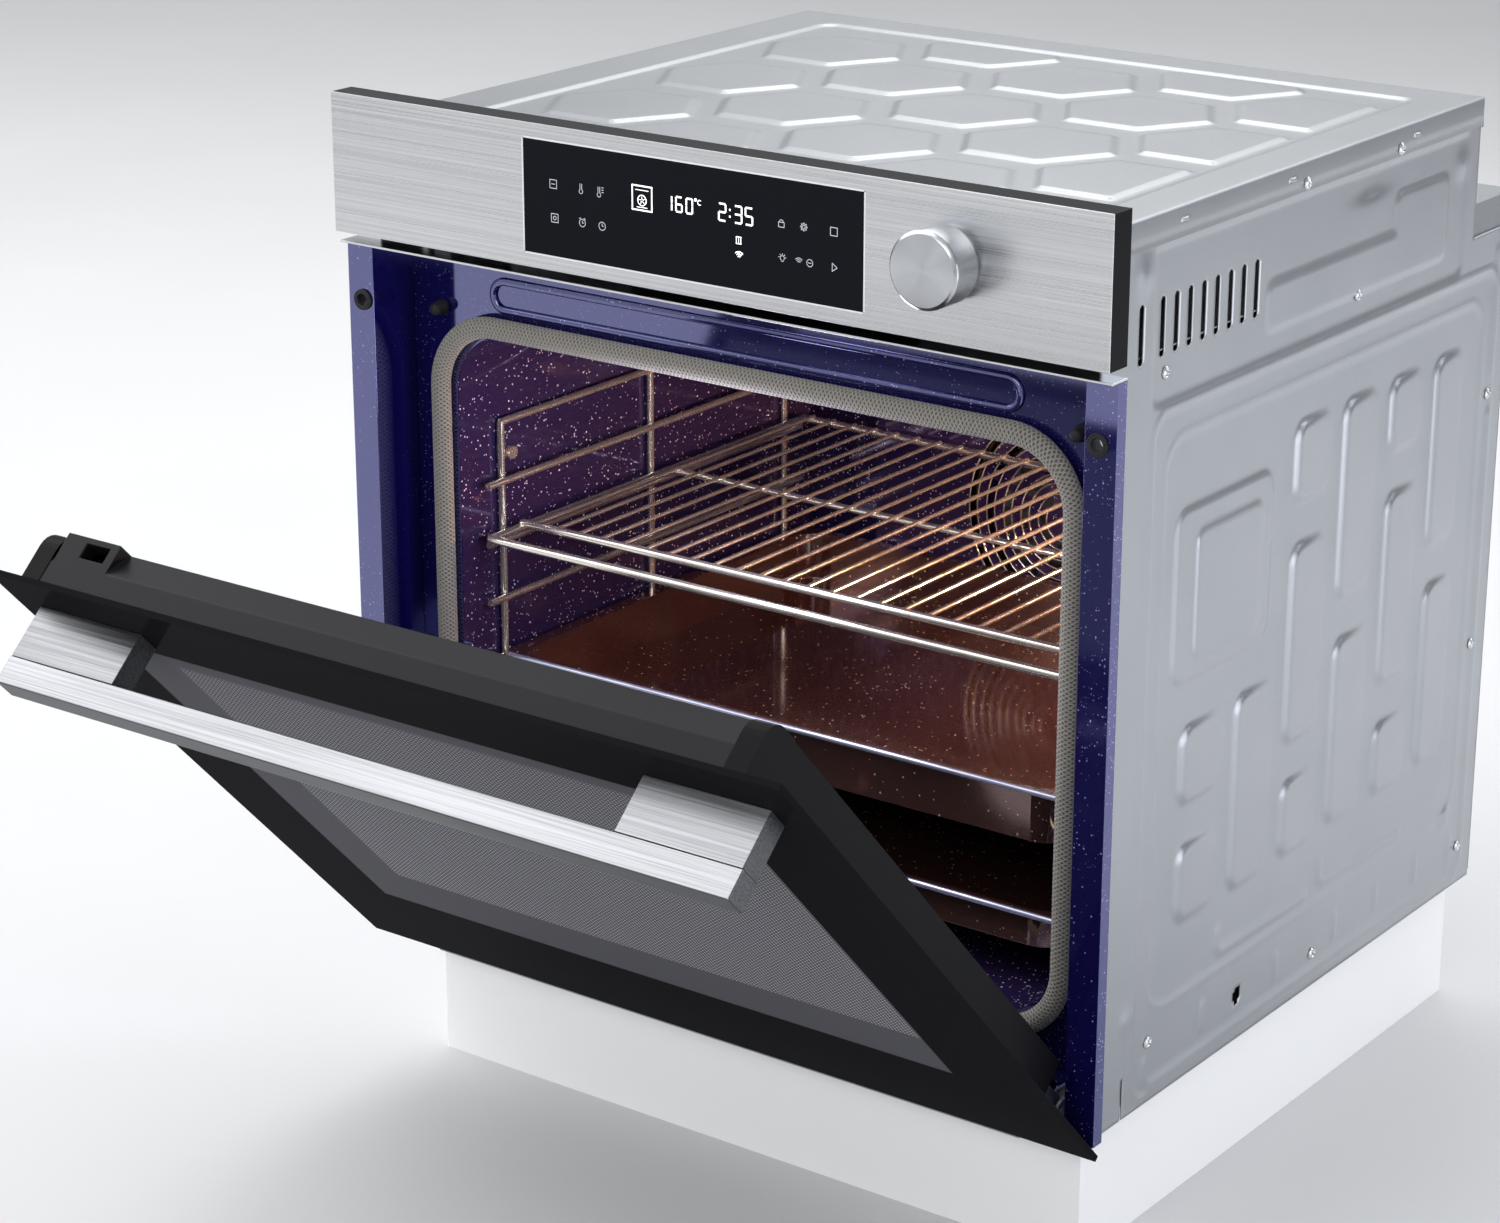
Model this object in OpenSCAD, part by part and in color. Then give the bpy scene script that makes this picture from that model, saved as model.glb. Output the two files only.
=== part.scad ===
// Built-in single oven, 60 cm class, with a bottom-hinged glass door.
// X runs to the right, +Y into the cabinet and +Z up. Y = 0 is the plane of the cabinet's front
// edge, and the origin lies in it at the middle of the chassis underside.
// The door group is drawn as it looks when shut and then turned about its hinge line.

/* [Front] */
// Width of the control panel and of the door
front_w = 595; // [560:1:620]
// Height of the top edge of the control panel above the chassis underside
front_top = 603; // [580:1:640]
// Height of the control panel
panel_h = 93; // [70:1:120]
// How far the front stands ahead of the cabinet edge
front_y = 21; // [16:1:30]

/* [Chassis] */
// Width over the top cover's side flanges
chassis_w = 559; // [540:1:565]
// Height of the chassis
chassis_h = 586; // [560:1:600]
// Depth of the lower chassis behind the cabinet edge
chassis_d = 545.5; // [500:0.5:570]
// Depth of the upper chassis, ahead of the rear step
upper_d = 487; // [440:1:500]
// Height of the rear step
step_z = 489.5; // [460:0.5:520]
// Thickness of the outer sheet
sheet = 1; // [0.8:0.1:1.5]

/* [Cavity] */
// Inside width of the cavity
cavity_w = 480; // [440:1:500]
// Height of the cavity floor above the chassis underside
cavity_z = 64; // [55:1:90]
// Inside height of the cavity
cavity_h = 378; // [340:1:390]
// Inside depth of the cavity
cavity_d = 417; // [380:1:425]
// Y of the enamelled front plate
plate_y = 31; // [26:1:40]

/* [Door] */
// Angle at which the door stands open
door_angle = 43.2; // [0:0.1:90]
// Height of the outer pane
door_h = 488; // [440:1:500]
// Thickness of the outer pane
pane_t = 4; // [3:0.5:6]
// Depth of the door from the outer face to the inner face
door_t = 40; // [34:1:42]
// Gap between the control panel and the shut door
door_gap = 9.5; // [8:0.5:14]
// Height of the hinge line above the outer pane's lower edge
hinge_rise = 13.3; // [12:0.1:16]
// Radius of the hinge pins
hinge_r = 4; // [3:0.5:5]
// Radial running clearance of pins and shafts
run_gap = 0.05; // [0.02:0.01:0.1]

/* [Racks and trays] */
// Height of the lowest rack rail
rail_z = 120; // [110:1:140]
// Distance between rack rails
rail_pitch = 42; // [36:1:46]
// Number of rack levels
rail_count = 6; // [4:1:6]
// Diameter of the rack wires
rail_d = 5; // [4:0.5:6]
// Half width of the shelf and of the tray rims
shelf_half = 232; // [225:1:234]

/* [Controls] */
// X of the knob
knob_x = 188; // [170:1:200]
// Height of the knob above the chassis underside
knob_z = 560; // [550:1:565]
// Radius of the knob
knob_r = 24; // [20:1:26]

/* [Hidden] */
$fn = 48;

eps = 0.1;
fit = 0.3;
front_half = front_w / 2;
flange_x = chassis_w / 2;
side_x = flange_x - sheet;
roof_z = chassis_h - sheet;
panel_z = front_top - panel_h;
cavity_half = cavity_w / 2;
cavity_top = cavity_z + cavity_h;
cavity_mid = cavity_z + cavity_h / 2;
cavity_rear = plate_y + cavity_d;
cavity_round = 44;
liner_t = 1;
door_top = panel_z - door_gap;
door_foot_z = door_top - door_h;
pane_back = pane_t - front_y;
door_inner = door_t - front_y;
hinge_y = -0.8;
hinge_z = door_foot_z + hinge_rise;
hinge_x = 264;
arm_t = 4;
cheek_t = 2;
cheek_gap = 4;
frame_half = 277;
column_face_y = -10;
column_foot = 13;
lip_z = panel_z - 8.5;
lip_t = 1.5;
deck_z = 500;
fan_z = cavity_mid - 3;
body_half = 272;
rail_x = 232;
post_x = rail_x + rail_d;
bracket_w = 87;
handle_top = door_foot_z + 456;
handle_t = 18;
handle_reach = 35.5;
bar_depth = 19;
handle_half = 278;
post_ys = [70, 236, 400];
side_slots_y = 46;
slot_first_y = 72.5;
slot_pitch = 16.17;
slot_z = 515;
slot_h = 37;
slot_w = 5.4;
screw_r = 2;
side_screws = [[78, 485.6], [321.4, 483.4], [525.5, 370.7], [525.5, 185.9],
               [85.8, 42.5], [305.3, 24.2], [525.5, 29.4]];
flange_screws = [241.4, 368.1];
flange_hooks = [90.1, 221.5, 389.9];
flange_screw_z = 571.3;
flange_hook_z = 577;
bush_x = 285;
bush_z = 463;
bush_r = 4;
buffer_x = 250.3;
buffer_z = 455;
shelf_y = 48;
shelf_depth = 368;
tray_y = 58;
tray_depth = 360;
shelf_level = rail_z + 4 * rail_pitch;
upper_level = rail_z + 2 * rail_pitch;
lower_level = rail_z;
lock_x = -228.5;
lock_y = 10;
shaft_r = 3;
leg_pitch = 60;
floor_heat_z = 57;
heater_half = 118;
stud_ys = [78, 408];
stud_zs = [138, 345];
handle_screw_xs = [205, 240];
lamp_y = 330;
lamp_z = 330;
lamp_r = 30;
lamp_wall = 3;
wool_t = 24;
fan_hole_r = 7;
fan_r = 65;
baffle_y = 421;
baffle_low = [-165, 115];
baffle_high = [165, 375];
baffle_rings_r = [18, 33, 48, 63, 78];
baffle_slot_w = 7;
tube_d = 6.5;
ring_heater_r = 84;
grill_z = 428;
grill_front_y = 100;
grill_back_y = 380;
floor_front_y = 120;
floor_back_y = 380;
probe_x = 190;
probe_z = 400;
feed_xs = [150, 175];
feed_z = 110;
shelf_wire_d = 6;
cross_wire_d = 3;
shelf_wires = 24;
shelf_lip = 34;
tray_wall = 1.2;
board_low = [-130, 12];
board_high = [122, 80];
axle_r = 6;
frame_wall = 3;
frame_back = 1.5;
scroll_y = 265;
scroll_z = 540;
scroll_r = 36;
duct_y = 60;
duct_z = 508;
blower_half = 115;
blower_sheet = 1.5;
rotor_r = 28;
rotor_half = 105;
vent_w = 6;
vent_h = 40;
post_t = 18;
cap_t = 2;

// ---- shared shapes ----

// Extrude an outline, drawn as (x, z), from y0 to y1
module along_y(y0, y1) {
    translate([0, y1, 0]) rotate([90, 0, 0]) linear_extrude(y1 - y0) children();
}

// Extrude an outline, drawn as (y, z), from x0 to x1
module along_x(x0, x1) {
    translate([x0, 0, 0]) rotate([90, 0, 90]) linear_extrude(x1 - x0) children();
}

// Box between two opposite corners
module box(low, high) {
    translate(low) cube(high - low);
}

// Rectangle between two corners with round corners of radius r
module round_rect(low, high, r) {
    translate([low.x + r, low.y]) square([high.x - low.x - 2 * r, high.y - low.y]);
    translate([low.x, low.y + r]) square([high.x - low.x, high.y - low.y - 2 * r]);
    for (x = [low.x + r, high.x - r], y = [low.y + r, high.y - r])
        translate([x, y]) circle(r);
}

// The same rectangle, grown by d on every side
module grown_rect(low, high, r, d) {
    round_rect(low - [d, d], high + [d, d], r + d);
}

// Upright slot with round ends, as (y, z), centred on (0, 0)
module slot(w, h) {
    square([w, h - w], center = true);
    for (s = [-1, 1]) translate([0, s * (h - w) / 2]) circle(w / 2);
}

// Round bar between two points that differ along one axis only
module bar_y(x, y0, y1, z, d) {
    translate([x, y0, z]) rotate([-90, 0, 0]) cylinder(h = y1 - y0, d = d);
}
module bar_x(x0, x1, y, z, d) {
    translate([x0, y, z]) rotate([0, 90, 0]) cylinder(h = x1 - x0, d = d);
}
module bar_z(x, y, z0, z1, d) {
    translate([x, y, z0]) cylinder(h = z1 - z0, d = d);
}

// Ring of tube in the XZ plane
module tube_ring(r, d) {
    rotate([90, 0, 0]) rotate_extrude() translate([r, 0]) circle(d / 2);
}

// Turn the door group, drawn shut, to the angle at which it stands
module door_turn() {
    translate([0, hinge_y, hinge_z]) rotate([door_angle, 0, 0])
        translate([0, -hinge_y, -hinge_z]) children();
}

// ---- chassis ----

module side_outline() {
    polygon([[1.5, 14], [15, 14], [15, 0], [chassis_d, 0], [chassis_d, step_z], [upper_d, step_z],
             [upper_d, roof_z - 0.2], [1.5, roof_z - 0.2]]);
}

module side_holes() {
    for (y = [side_slots_y, for (k = [0:7]) slot_first_y + k * slot_pitch])
        translate([y, slot_z]) slot(slot_w, slot_h);
    for (p = side_screws) translate(p) circle(screw_r);
    for (y = flange_screws) translate([y, flange_screw_z]) circle(screw_r);
    translate([201.7, 31.8]) slot(9, 13);
    translate([53.5, -eps]) square([2, 28.5]);
}

// Right-hand panel: one sheet with return flanges along its foot and rear edges
module side_panel() {
    along_x(side_x - sheet, side_x) difference() {
        side_outline();
        side_holes();
    }
    box([side_x - 10, 56, 0], [side_x - sheet, chassis_d, sheet]);
}

module side_panel_right() {
    color("#a9adb0") side_panel();
}

module side_panel_left() {
    color("#a9adb0") mirror([1, 0, 0]) side_panel();
}

module top_cover() {
    color("#b9bdc0") {
        box([-flange_x, 1.5, roof_z], [flange_x, upper_d + sheet, chassis_h]);
        for (s = [0, 1]) mirror([s, 0, 0]) difference() {
            box([side_x, 1.5, 566.5], [flange_x, upper_d + sheet, roof_z]);
            for (y = flange_hooks)
                box([side_x - eps, y - 6, flange_hook_z - 2],
                    [flange_x + eps, y + 6, flange_hook_z + 2]);
            for (y = flange_screws)
                bar_x(side_x - eps, flange_x + eps, y, flange_screw_z, 2 * screw_r);
        }
        box([-side_x + 2, upper_d, 575], [side_x - 2, upper_d + sheet, roof_z]);
    }
}

module base_plate() {
    color("#9a9ea2") difference() {
        union() {
            box([-side_x + 10.4, 36, 0], [side_x - 10.4, chassis_d - 2, sheet]);
            box([-cavity_half, -4, 0], [cavity_half, 36 + eps, sheet]);
        }
        for (x = [-200:50:200], y = [110, 470])
            translate([x, y, 0]) linear_extrude(3, center = true) slot(vent_w, vent_h);
    }
}

module rear_upper_panel() {
    color("#9a9ea2") difference() {
        box([-side_x + 2, upper_d - sheet - 0.2, 513], [side_x - 2, upper_d - 0.2, 574]);
        for (x = [-220:20:220])
            translate([x, 0, 545]) along_y(upper_d - 3, upper_d + 1) slot(vent_w, vent_h);
    }
}

// Pan that closes the rear compartment
module rear_cover() {
    rear = chassis_d + 4;
    half = side_x - sheet - fit;
    top = 512;
    color("#9a9ea2") {
        difference() {
            box([-half, rear - sheet, 3], [half, rear, top]);
            for (x = [-150:15:150])
                translate([x, 0, 420]) along_y(rear - 3, rear + 1) slot(vent_w, 70);
            box([150, rear - 3, 60], [215, rear + 1, 110]);
            for (x = [-250, 0, 250], z = [20, 495]) bar_y(x, rear - 3, rear + 1, z, 4);
        }
        box([-half, upper_d + 1.4, top - sheet], [half, rear - sheet, top]);
        for (s = [0, 1]) mirror([s, 0, 0]) difference() {
            box([half - sheet, upper_d + 1.4, 3], [half, rear - sheet, top - sheet]);
            for (p = side_screws) if (p.x > upper_d)
                bar_x(half - 2 * sheet, half + sheet, p.x, p.y, 2 * screw_r);
        }
    }
}

// Enamelled plate round the oven's mouth, with a pressed rib above it
module front_plate() {
    color("#14124a") {
        along_y(plate_y, plate_y + sheet) difference() {
            translate([-frame_half, column_foot]) square([2 * frame_half, lip_z - column_foot]);
            round_rect([-cavity_half, cavity_z], [cavity_half, cavity_top], cavity_round);
            for (s = [-1, 1])
                translate([s * hinge_x - 9, 13 - eps]) square([18, 35]);
            for (s = [-1, 1]) translate([s * buffer_x, buffer_z]) circle(3);
        }
        along_y(plate_y - 1.5, plate_y) difference() {
            round_rect([-208, 458.5], [208, 482], 11.5);
            round_rect([-204, 462.5], [204, 478], 7.5);
        }
    }
}

// Right-hand column: front face, outer return and inner return
module column() {
    back = plate_y - 0.2;
    along_x(frame_half - sheet, frame_half)
        polygon([[column_face_y, column_foot], [back, column_foot], [back, lip_z],
                 [column_face_y, lip_z]]);
    difference() {
        box([frame_half, column_face_y, column_foot],
            [front_half, column_face_y + sheet, lip_z]);
        bar_y(bush_x, column_face_y - 1, column_face_y + 3, bush_z, 10);
    }
    box([front_half - sheet, column_face_y + sheet, column_foot],
        [front_half, 0, lip_z]);
}

module column_right() {
    color("#14124a") column();
}

module column_left() {
    color("#14124a") mirror([1, 0, 0]) column();
}

// ---- cavity ----

module cavity_outline(d) {
    grown_rect([-cavity_half, cavity_z], [cavity_half, cavity_top], cavity_round, d);
}

module cavity_liner() {
    color("#2c1a2b") difference() {
        along_y(plate_y + sheet, cavity_rear) difference() {
            cavity_outline(liner_t);
            cavity_outline(0);
        }
        bar_x(cavity_half - 2, cavity_half + 3, lamp_y, lamp_z, 2 * lamp_r);
        for (s = [-1, 1], y = stud_ys, z = stud_zs)
            bar_x(s * cavity_half - 3, s * cavity_half + 3, y, z, 5);
    }
}

module cavity_back() {
    color("#2c1a2b") difference() {
        along_y(cavity_rear, cavity_rear + liner_t) cavity_outline(liner_t);
        bar_y(0, cavity_rear - 1, cavity_rear + 3, fan_z, 2 * fan_hole_r);
        for (x = [leg_x(0), leg_x(6)])
            bar_y(x, cavity_rear - 1, cavity_rear + 3, grill_z, tube_d + 3 * fit);
        for (x = feed_xs) bar_y(x, cavity_rear - 1, cavity_rear + 3, feed_z, tube_d + 3 * fit);
        bar_y(probe_x, cavity_rear - 1, cavity_rear + 3, probe_z, 6.4);
    }
}

// Mineral wool round the liner
module insulation() {
    color("#d8cfae") {
        along_y(plate_y + 3, cavity_rear - 1) difference() {
            cavity_outline(wool_t);
            cavity_outline(liner_t + 0.4);
            translate([cavity_half - 4, lamp_z - 35]) square([40, 70]);
            translate([-heater_half, floor_heat_z - 4]) square([2 * heater_half, 12]);
            for (s = [-1, 1], z = stud_zs)
                translate([s * 252, z]) square([34, 12], center = true);
        }
        along_y(cavity_rear + 1.4, cavity_rear + 22) difference() {
            cavity_outline(wool_t);
            translate([0, fan_z]) circle(52);
            for (x = [leg_x(0), leg_x(6)]) translate([x, grill_z]) circle(7);
            translate([(feed_xs[0] + feed_xs[1]) / 2, feed_z]) square([50, 20], center = true);
            translate([probe_x, probe_z]) circle(8);
        }
    }
}

// Rings of openings round the fan's middle, crossed by spokes
module baffle_rings() {
    difference() {
        for (r = baffle_rings_r) difference() {
            circle(r + baffle_slot_w / 2);
            circle(r - baffle_slot_w / 2);
        }
        for (a = [22.5:45:157.5]) rotate(a) square([200, 5], center = true);
    }
}

// Plate ahead of the fan
module fan_baffle() {
    color("#30202e") {
        difference() {
            along_y(baffle_y, baffle_y + 1.2) round_rect(baffle_low, baffle_high, 30);
            along_y(baffle_y - 1, baffle_y + 3) translate([0, fan_z]) baffle_rings();
            for (x = [baffle_low.x + 13, baffle_high.x - 13],
                 z = [baffle_low.y + 13, baffle_high.y - 13])
                bar_y(x, baffle_y - 2, baffle_y + 4, z, 5);
        }
        for (x = [baffle_low.x, baffle_high.x - 1.2])
            box([x, baffle_y + 1.2, baffle_low.y + 30],
                [x + 1.2, cavity_rear - 0.3, baffle_high.y - 30]);
    }
}

module convection_fan() {
    hub_y = baffle_y + 3;
    color("#8f9296") difference() {
        union() {
            bar_y(0, hub_y + 14, hub_y + 16, fan_z, 2 * fan_r);
            bar_y(0, hub_y + 4, hub_y + 14, fan_z, 24);
            for (a = [0:30:330])
                translate([0, hub_y + 4, fan_z]) rotate([0, a, 0])
                    box([30, 0, -0.6], [fan_r - 1, 10.1, 0.6]);
        }
        bar_y(0, hub_y, hub_y + 30, fan_z, 2 * (shaft_r + run_gap));
    }
}

module fan_motor() {
    color("#6d6f73") {
        bar_y(0, 430, 482, fan_z, 2 * shaft_r);
        bar_y(0, 457, 480, fan_z, 70);
        box([-48, 453, fan_z - 12], [48, 457, fan_z + 12]);
    }
}

// Heater coil round the fan
module ring_heater() {
    color("#55504c") translate([0, baffle_y + 14, fan_z]) {
        tube_ring(ring_heater_r, tube_d);
        translate([0, 9, 0]) tube_ring(ring_heater_r, tube_d);
    }
}

// Half a ring of heater tube, open towards -Y
module half_ring(r) {
    rotate_extrude(angle = 180) translate([r, 0]) circle(tube_d / 2);
}

// X of a leg of the grill element
function leg_x(k) = (k - 3) * leg_pitch;

// Grill element: legs joined by half rings, hung below the cavity's roof
module grill_element() {
    tail_y = cavity_rear + 14;
    color("#4b4745") {
        for (k = [0:6])
            bar_y(leg_x(k), grill_front_y, k == 0 || k == 6 ? tail_y : grill_back_y, grill_z,
                  tube_d);
        for (k = [0:2:4]) translate([leg_x(k + 0.5), grill_front_y, grill_z])
            rotate([0, 0, 180]) half_ring(leg_pitch / 2);
        for (k = [1:2:3])
            translate([leg_x(k + 0.5), grill_back_y, grill_z]) half_ring(leg_pitch / 2);
    }
}

module floor_element() {
    color("#4b4745") {
        for (x = [-110, -40, 40, 110])
            bar_y(x, floor_front_y, floor_back_y, floor_heat_z, tube_d);
        for (x = [-75, 75]) translate([x, floor_front_y, floor_heat_z])
            rotate([0, 0, 180]) half_ring(35);
        translate([0, floor_back_y, floor_heat_z]) half_ring(40);
    }
}

module lamp_housing() {
    color("#b8b8b8") difference() {
        bar_x(cavity_half + 1.2, cavity_half + 30, lamp_y, lamp_z, 2 * lamp_r - 2);
        bar_x(cavity_half + 1, cavity_half + 28, lamp_y, lamp_z, 2 * (lamp_r - lamp_wall) - 2);
    }
}

module lamp_bulb() {
    color("#ffe2b0") translate([cavity_half + 5, lamp_y, lamp_z]) rotate([0, 90, 0])
        rotate_extrude() polygon([[0, 0], [3, 1], [6, 4], [7, 7], [6, 10], [4.5, 12],
                                  [4.5, 22.8], [0, 22.8]]);
}

module lamp_lens() {
    color("#f4efe2") difference() {
        bar_x(cavity_half - 4, cavity_half + 1.1, lamp_y, lamp_z, 2 * lamp_r - 1);
        bar_x(cavity_half - 2, cavity_half + 2, lamp_y, lamp_z, 2 * (lamp_r - lamp_wall) - 1);
    }
}

module oven_probe() {
    color("#c8c8c8") {
        bar_y(probe_x, cavity_rear - 68, cavity_rear + 14, probe_z, 6);
        bar_y(probe_x, cavity_rear + 2.3, cavity_rear + 7, probe_z, 14);
    }
}

// ---- racks and trays ----

// Right-hand rack: posts and rails of round wire
module rack() {
    low = rail_z - 14;
    top = rail_z + (rail_count - 1) * rail_pitch + 38;
    for (k = [0:rail_count - 1])
        bar_y(rail_x, 50, 415, rail_z + k * rail_pitch - rail_d / 2 - fit, rail_d);
    for (y = post_ys) bar_z(post_x - 0.6, y, low, top, rail_d);
    for (z = [low, top]) bar_y(post_x - 0.6, 70, 400, z, rail_d);
}

module rack_right() {
    color("#cfc8bd") rack();
}

module rack_left() {
    color("#cfc8bd") mirror([1, 0, 0]) rack();
}

module rack_studs() {
    color("#c8c4bc")
        for (s = [0, 1], y = stud_ys, z = stud_zs) mirror([s, 0, 0]) {
            bar_x(cavity_half - 1, cavity_half + 6, y, z, 4);
            bar_x(cavity_half - 8, cavity_half - 0.3, y, z, 9);
        }
}

module wire_shelf() {
    z = shelf_level + shelf_wire_d / 2;
    edge = shelf_half - shelf_wire_d / 2;
    back = shelf_y + shelf_depth;
    gap = 2 * (shelf_half - 12) / (shelf_wires - 1);
    color("#d9d4cb") {
        for (y = [shelf_y, back]) bar_x(-edge, edge, y, z, shelf_wire_d);
        for (s = [-1, 1]) bar_y(s * edge, shelf_y, back, z, shelf_wire_d);
        bar_x(-edge, edge, shelf_y + shelf_lip, z + cross_wire_d, shelf_wire_d);
        bar_x(-edge, edge, shelf_y + 202, z, shelf_wire_d - 1);
        for (k = [0:shelf_wires - 1])
            bar_y(-shelf_half + 12 + k * gap, shelf_y + shelf_lip, back, z + cross_wire_d,
                  cross_wire_d);
    }
}

// Pressed tray: rim z, basin depth and front wall
module tray(rim, deep, wall) {
    half = shelf_half - 10;
    back = tray_y + tray_depth;
    round_r = 22;
    translate([0, 0, rim]) linear_extrude(1.2) difference() {
        round_rect([-shelf_half, tray_y], [shelf_half, back], 8);
        round_rect([-half + wall, tray_y + 8 + wall], [half - wall, back - 8 - wall], round_r);
    }
    translate([0, 0, rim - deep]) linear_extrude(deep) difference() {
        round_rect([-half, tray_y + 8], [half, back - 8], round_r + wall);
        round_rect([-half + wall, tray_y + 8 + wall], [half - wall, back - 8 - wall], round_r);
    }
    translate([0, 0, rim - deep]) linear_extrude(1.2)
        round_rect([-half + eps, tray_y + 8 + eps], [half - eps, back - 8 - eps], round_r + wall);
}

module upper_tray() {
    color("#3a2028") tray(upper_level, 36, tray_wall);
}

module lower_tray() {
    color("#251a26") tray(lower_level, 24, tray_wall);
}

// ---- front details ----

// Flat-faced rope seal round the mouth
module door_gasket() {
    low = [-257, 51];
    high = [257, 456];
    color("#8f8b80") along_y(19.4, plate_y - 0.2) difference() {
        round_rect(low, high, 54);
        round_rect(low + [15, 15], high - [15, 15], 39);
    }
}

module door_buffers() {
    color("#4a4a4c") for (s = [-1, 1]) {
        bar_y(s * buffer_x, 20, plate_y - 0.2, buffer_z, 8);
        bar_y(s * buffer_x, plate_y - 0.3, plate_y + 5, buffer_z, 5.8);
    }
}

module cabinet_bushes() {
    color("#2b2b2d") for (s = [-1, 1]) difference() {
        union() {
            bar_y(s * bush_x, column_face_y - 1.5, column_face_y - 0.1, bush_z, 14);
            bar_y(s * bush_x, column_face_y - 0.2, -1, bush_z, 9.6);
        }
        bar_y(s * bush_x, column_face_y - 3, 1, bush_z, 2 * bush_r);
    }
}

module control_fascia() {
    window = [[-135, panel_z + 9.6], [126.6, panel_z + 83.2]];
    color("#cfd0d3") difference() {
        box([-front_half, -front_y, panel_z], [front_half, 1 - front_y, front_top]);
        along_y(-front_y - 1, 3 - front_y) polygon([
            window[0], [window[1].x, window[0].y], window[1], [window[0].x, window[1].y]]);
        bar_y(knob_x, -front_y - 1, 3 - front_y, knob_z, 2 * axle_r);
    }
}

// Black moulded frame behind the steel, closed at both ends
module fascia_frame() {
    y0 = 1.2 - front_y;
    color("#1d1d1f") difference() {
        box([-front_half, y0, panel_z], [front_half, -1, front_top]);
        box([-front_half + 12, y0 + 5.2, panel_z + frame_wall],
            [front_half - 12, -1 - frame_back, front_top - frame_wall]);
        box([-135.2, y0 - 1, panel_z + 9.4], [126.8, y0 + 6, panel_z + 83.4]);
        bar_y(knob_x, y0 - 1, y0 + 6, knob_z, 2 * axle_r);
    }
}

module display_glass() {
    color("#202126") box([-134.6, -front_y, panel_z + 10], [126.2, 3 - front_y, panel_z + 82.8]);
}

module control_board() {
    color("#1f5a36") {
        box([board_low.x, -14, panel_z + board_low.y], [board_high.x, -12.4, panel_z + board_high.y]);
        for (x = [-90, 0, 85]) box([x, -12.4, panel_z + 30], [x + 22, -6, panel_z + 52]);
    }
}

module knob() {
    face_y = -front_y - 30;
    back_y = -front_y - 0.6;
    color("#b9bbbf") translate([knob_x, 0, knob_z]) difference() {
        rotate([-90, 0, 0]) rotate_extrude($fn = 96) polygon([
            [0, face_y], [knob_r - 1.5, face_y], [knob_r, face_y + 1.5], [knob_r, back_y - 6],
            [knob_r - 3, back_y - 6], [knob_r - 3, back_y], [0, back_y]]);
        bar_y(0, back_y - 14, back_y + 1, 0, 2 * (shaft_r + run_gap));
    }
}

module knob_encoder() {
    color("#3c4a44") {
        bar_y(knob_x, -front_y - 12, -13, knob_z, 2 * shaft_r);
        bar_y(knob_x, -14.4, -13, knob_z, 20);
        box([knob_x - 10, -13, knob_z - 10], [knob_x + 10, -4, knob_z + 10]);
    }
}

// Thin steel strip that closes the air outlet above the door
module vent_lip() {
    color("#c4c6c9") difference() {
        union() {
            box([-front_half, -17, lip_z + 0.2], [front_half, 0, lip_z + 0.2 + lip_t]);
            box([-frame_half, -eps, lip_z + 0.2], [frame_half, plate_y + 1, lip_z + 0.2 + lip_t]);
        }
        box([lock_x - 9, lock_y - 6, lip_z - 1], [lock_x + 9, lock_y + 6, lip_z + 4]);
    }
}

// Deck above the cavity that carries the blower and the lock
module control_deck() {
    color("#a2a6aa") difference() {
        box([-side_x + 2, plate_y + 2, deck_z], [side_x - 2, upper_d - 3, deck_z + 1]);
        box([-110, 230, deck_z - 1], [110, 300, deck_z + 2]);
    }
}

module blower_housing() {
    color("#8b8f93") difference() {
        along_x(-blower_half, blower_half) {
            translate([scroll_y, scroll_z]) circle(scroll_r);
            translate([duct_y, duct_z]) square([scroll_y - duct_y, 30]);
        }
        along_x(-blower_half + 2, blower_half - 2) {
            translate([scroll_y, scroll_z]) circle(scroll_r - blower_sheet);
            translate([duct_y - 2, duct_z + blower_sheet]) square([scroll_y - duct_y, 27]);
        }
        bar_x(-blower_half - 5, blower_half + 5, scroll_y, scroll_z, 14);
    }
    color("#8b8f93") for (x = [-90, 90])
        box([x - 6, scroll_y - 40, deck_z + 1.2], [x + 6, scroll_y + 40, duct_z]);
}

module blower_rotor() {
    color("#c0c4c8") difference() {
        union() {
            for (x = [-rotor_half, rotor_half - 2])
                bar_x(x, x + 2, scroll_y, scroll_z, 2 * rotor_r);
            for (a = [0:20:340])
                translate([0, scroll_y, scroll_z]) rotate([a, 0, 0])
                    box([-rotor_half + 1.9, rotor_r - 7, -0.5], [rotor_half - 1.9, rotor_r - 1, 0.5]);
        }
        bar_x(-rotor_half - 15, rotor_half + 15, scroll_y, scroll_z, 2 * (shaft_r + run_gap));
    }
}

module blower_motor() {
    motor_x = blower_half + 10;
    color("#5d6064") {
        bar_x(1 - blower_half, motor_x, scroll_y, scroll_z, 2 * shaft_r);
        bar_x(motor_x, motor_x + 40, scroll_y, scroll_z, 46);
        box([motor_x + 5, scroll_y - 15, deck_z + 1.2],
            [motor_x + 35, scroll_y + 15, scroll_z - 20]);
    }
}

module lock_body() {
    color("#2f3033") difference() {
        box([lock_x - 22, lock_y - 9, lip_z + 8], [lock_x + 22, lock_y + 40, lip_z + 40]);
        box([lock_x - 8, lock_y - 4, lip_z + 7], [lock_x + 8, lock_y + 4, lip_z + 36]);
    }
}

// Bolt that drops into the door's cap when the oven locks
module lock_bolt() {
    color("#c9cbce")
        box([lock_x - 7, lock_y - 3.4, lip_z + 3], [lock_x + 7, lock_y + 3.4, lip_z + 34]);
}

// ---- hinge ----

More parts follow.
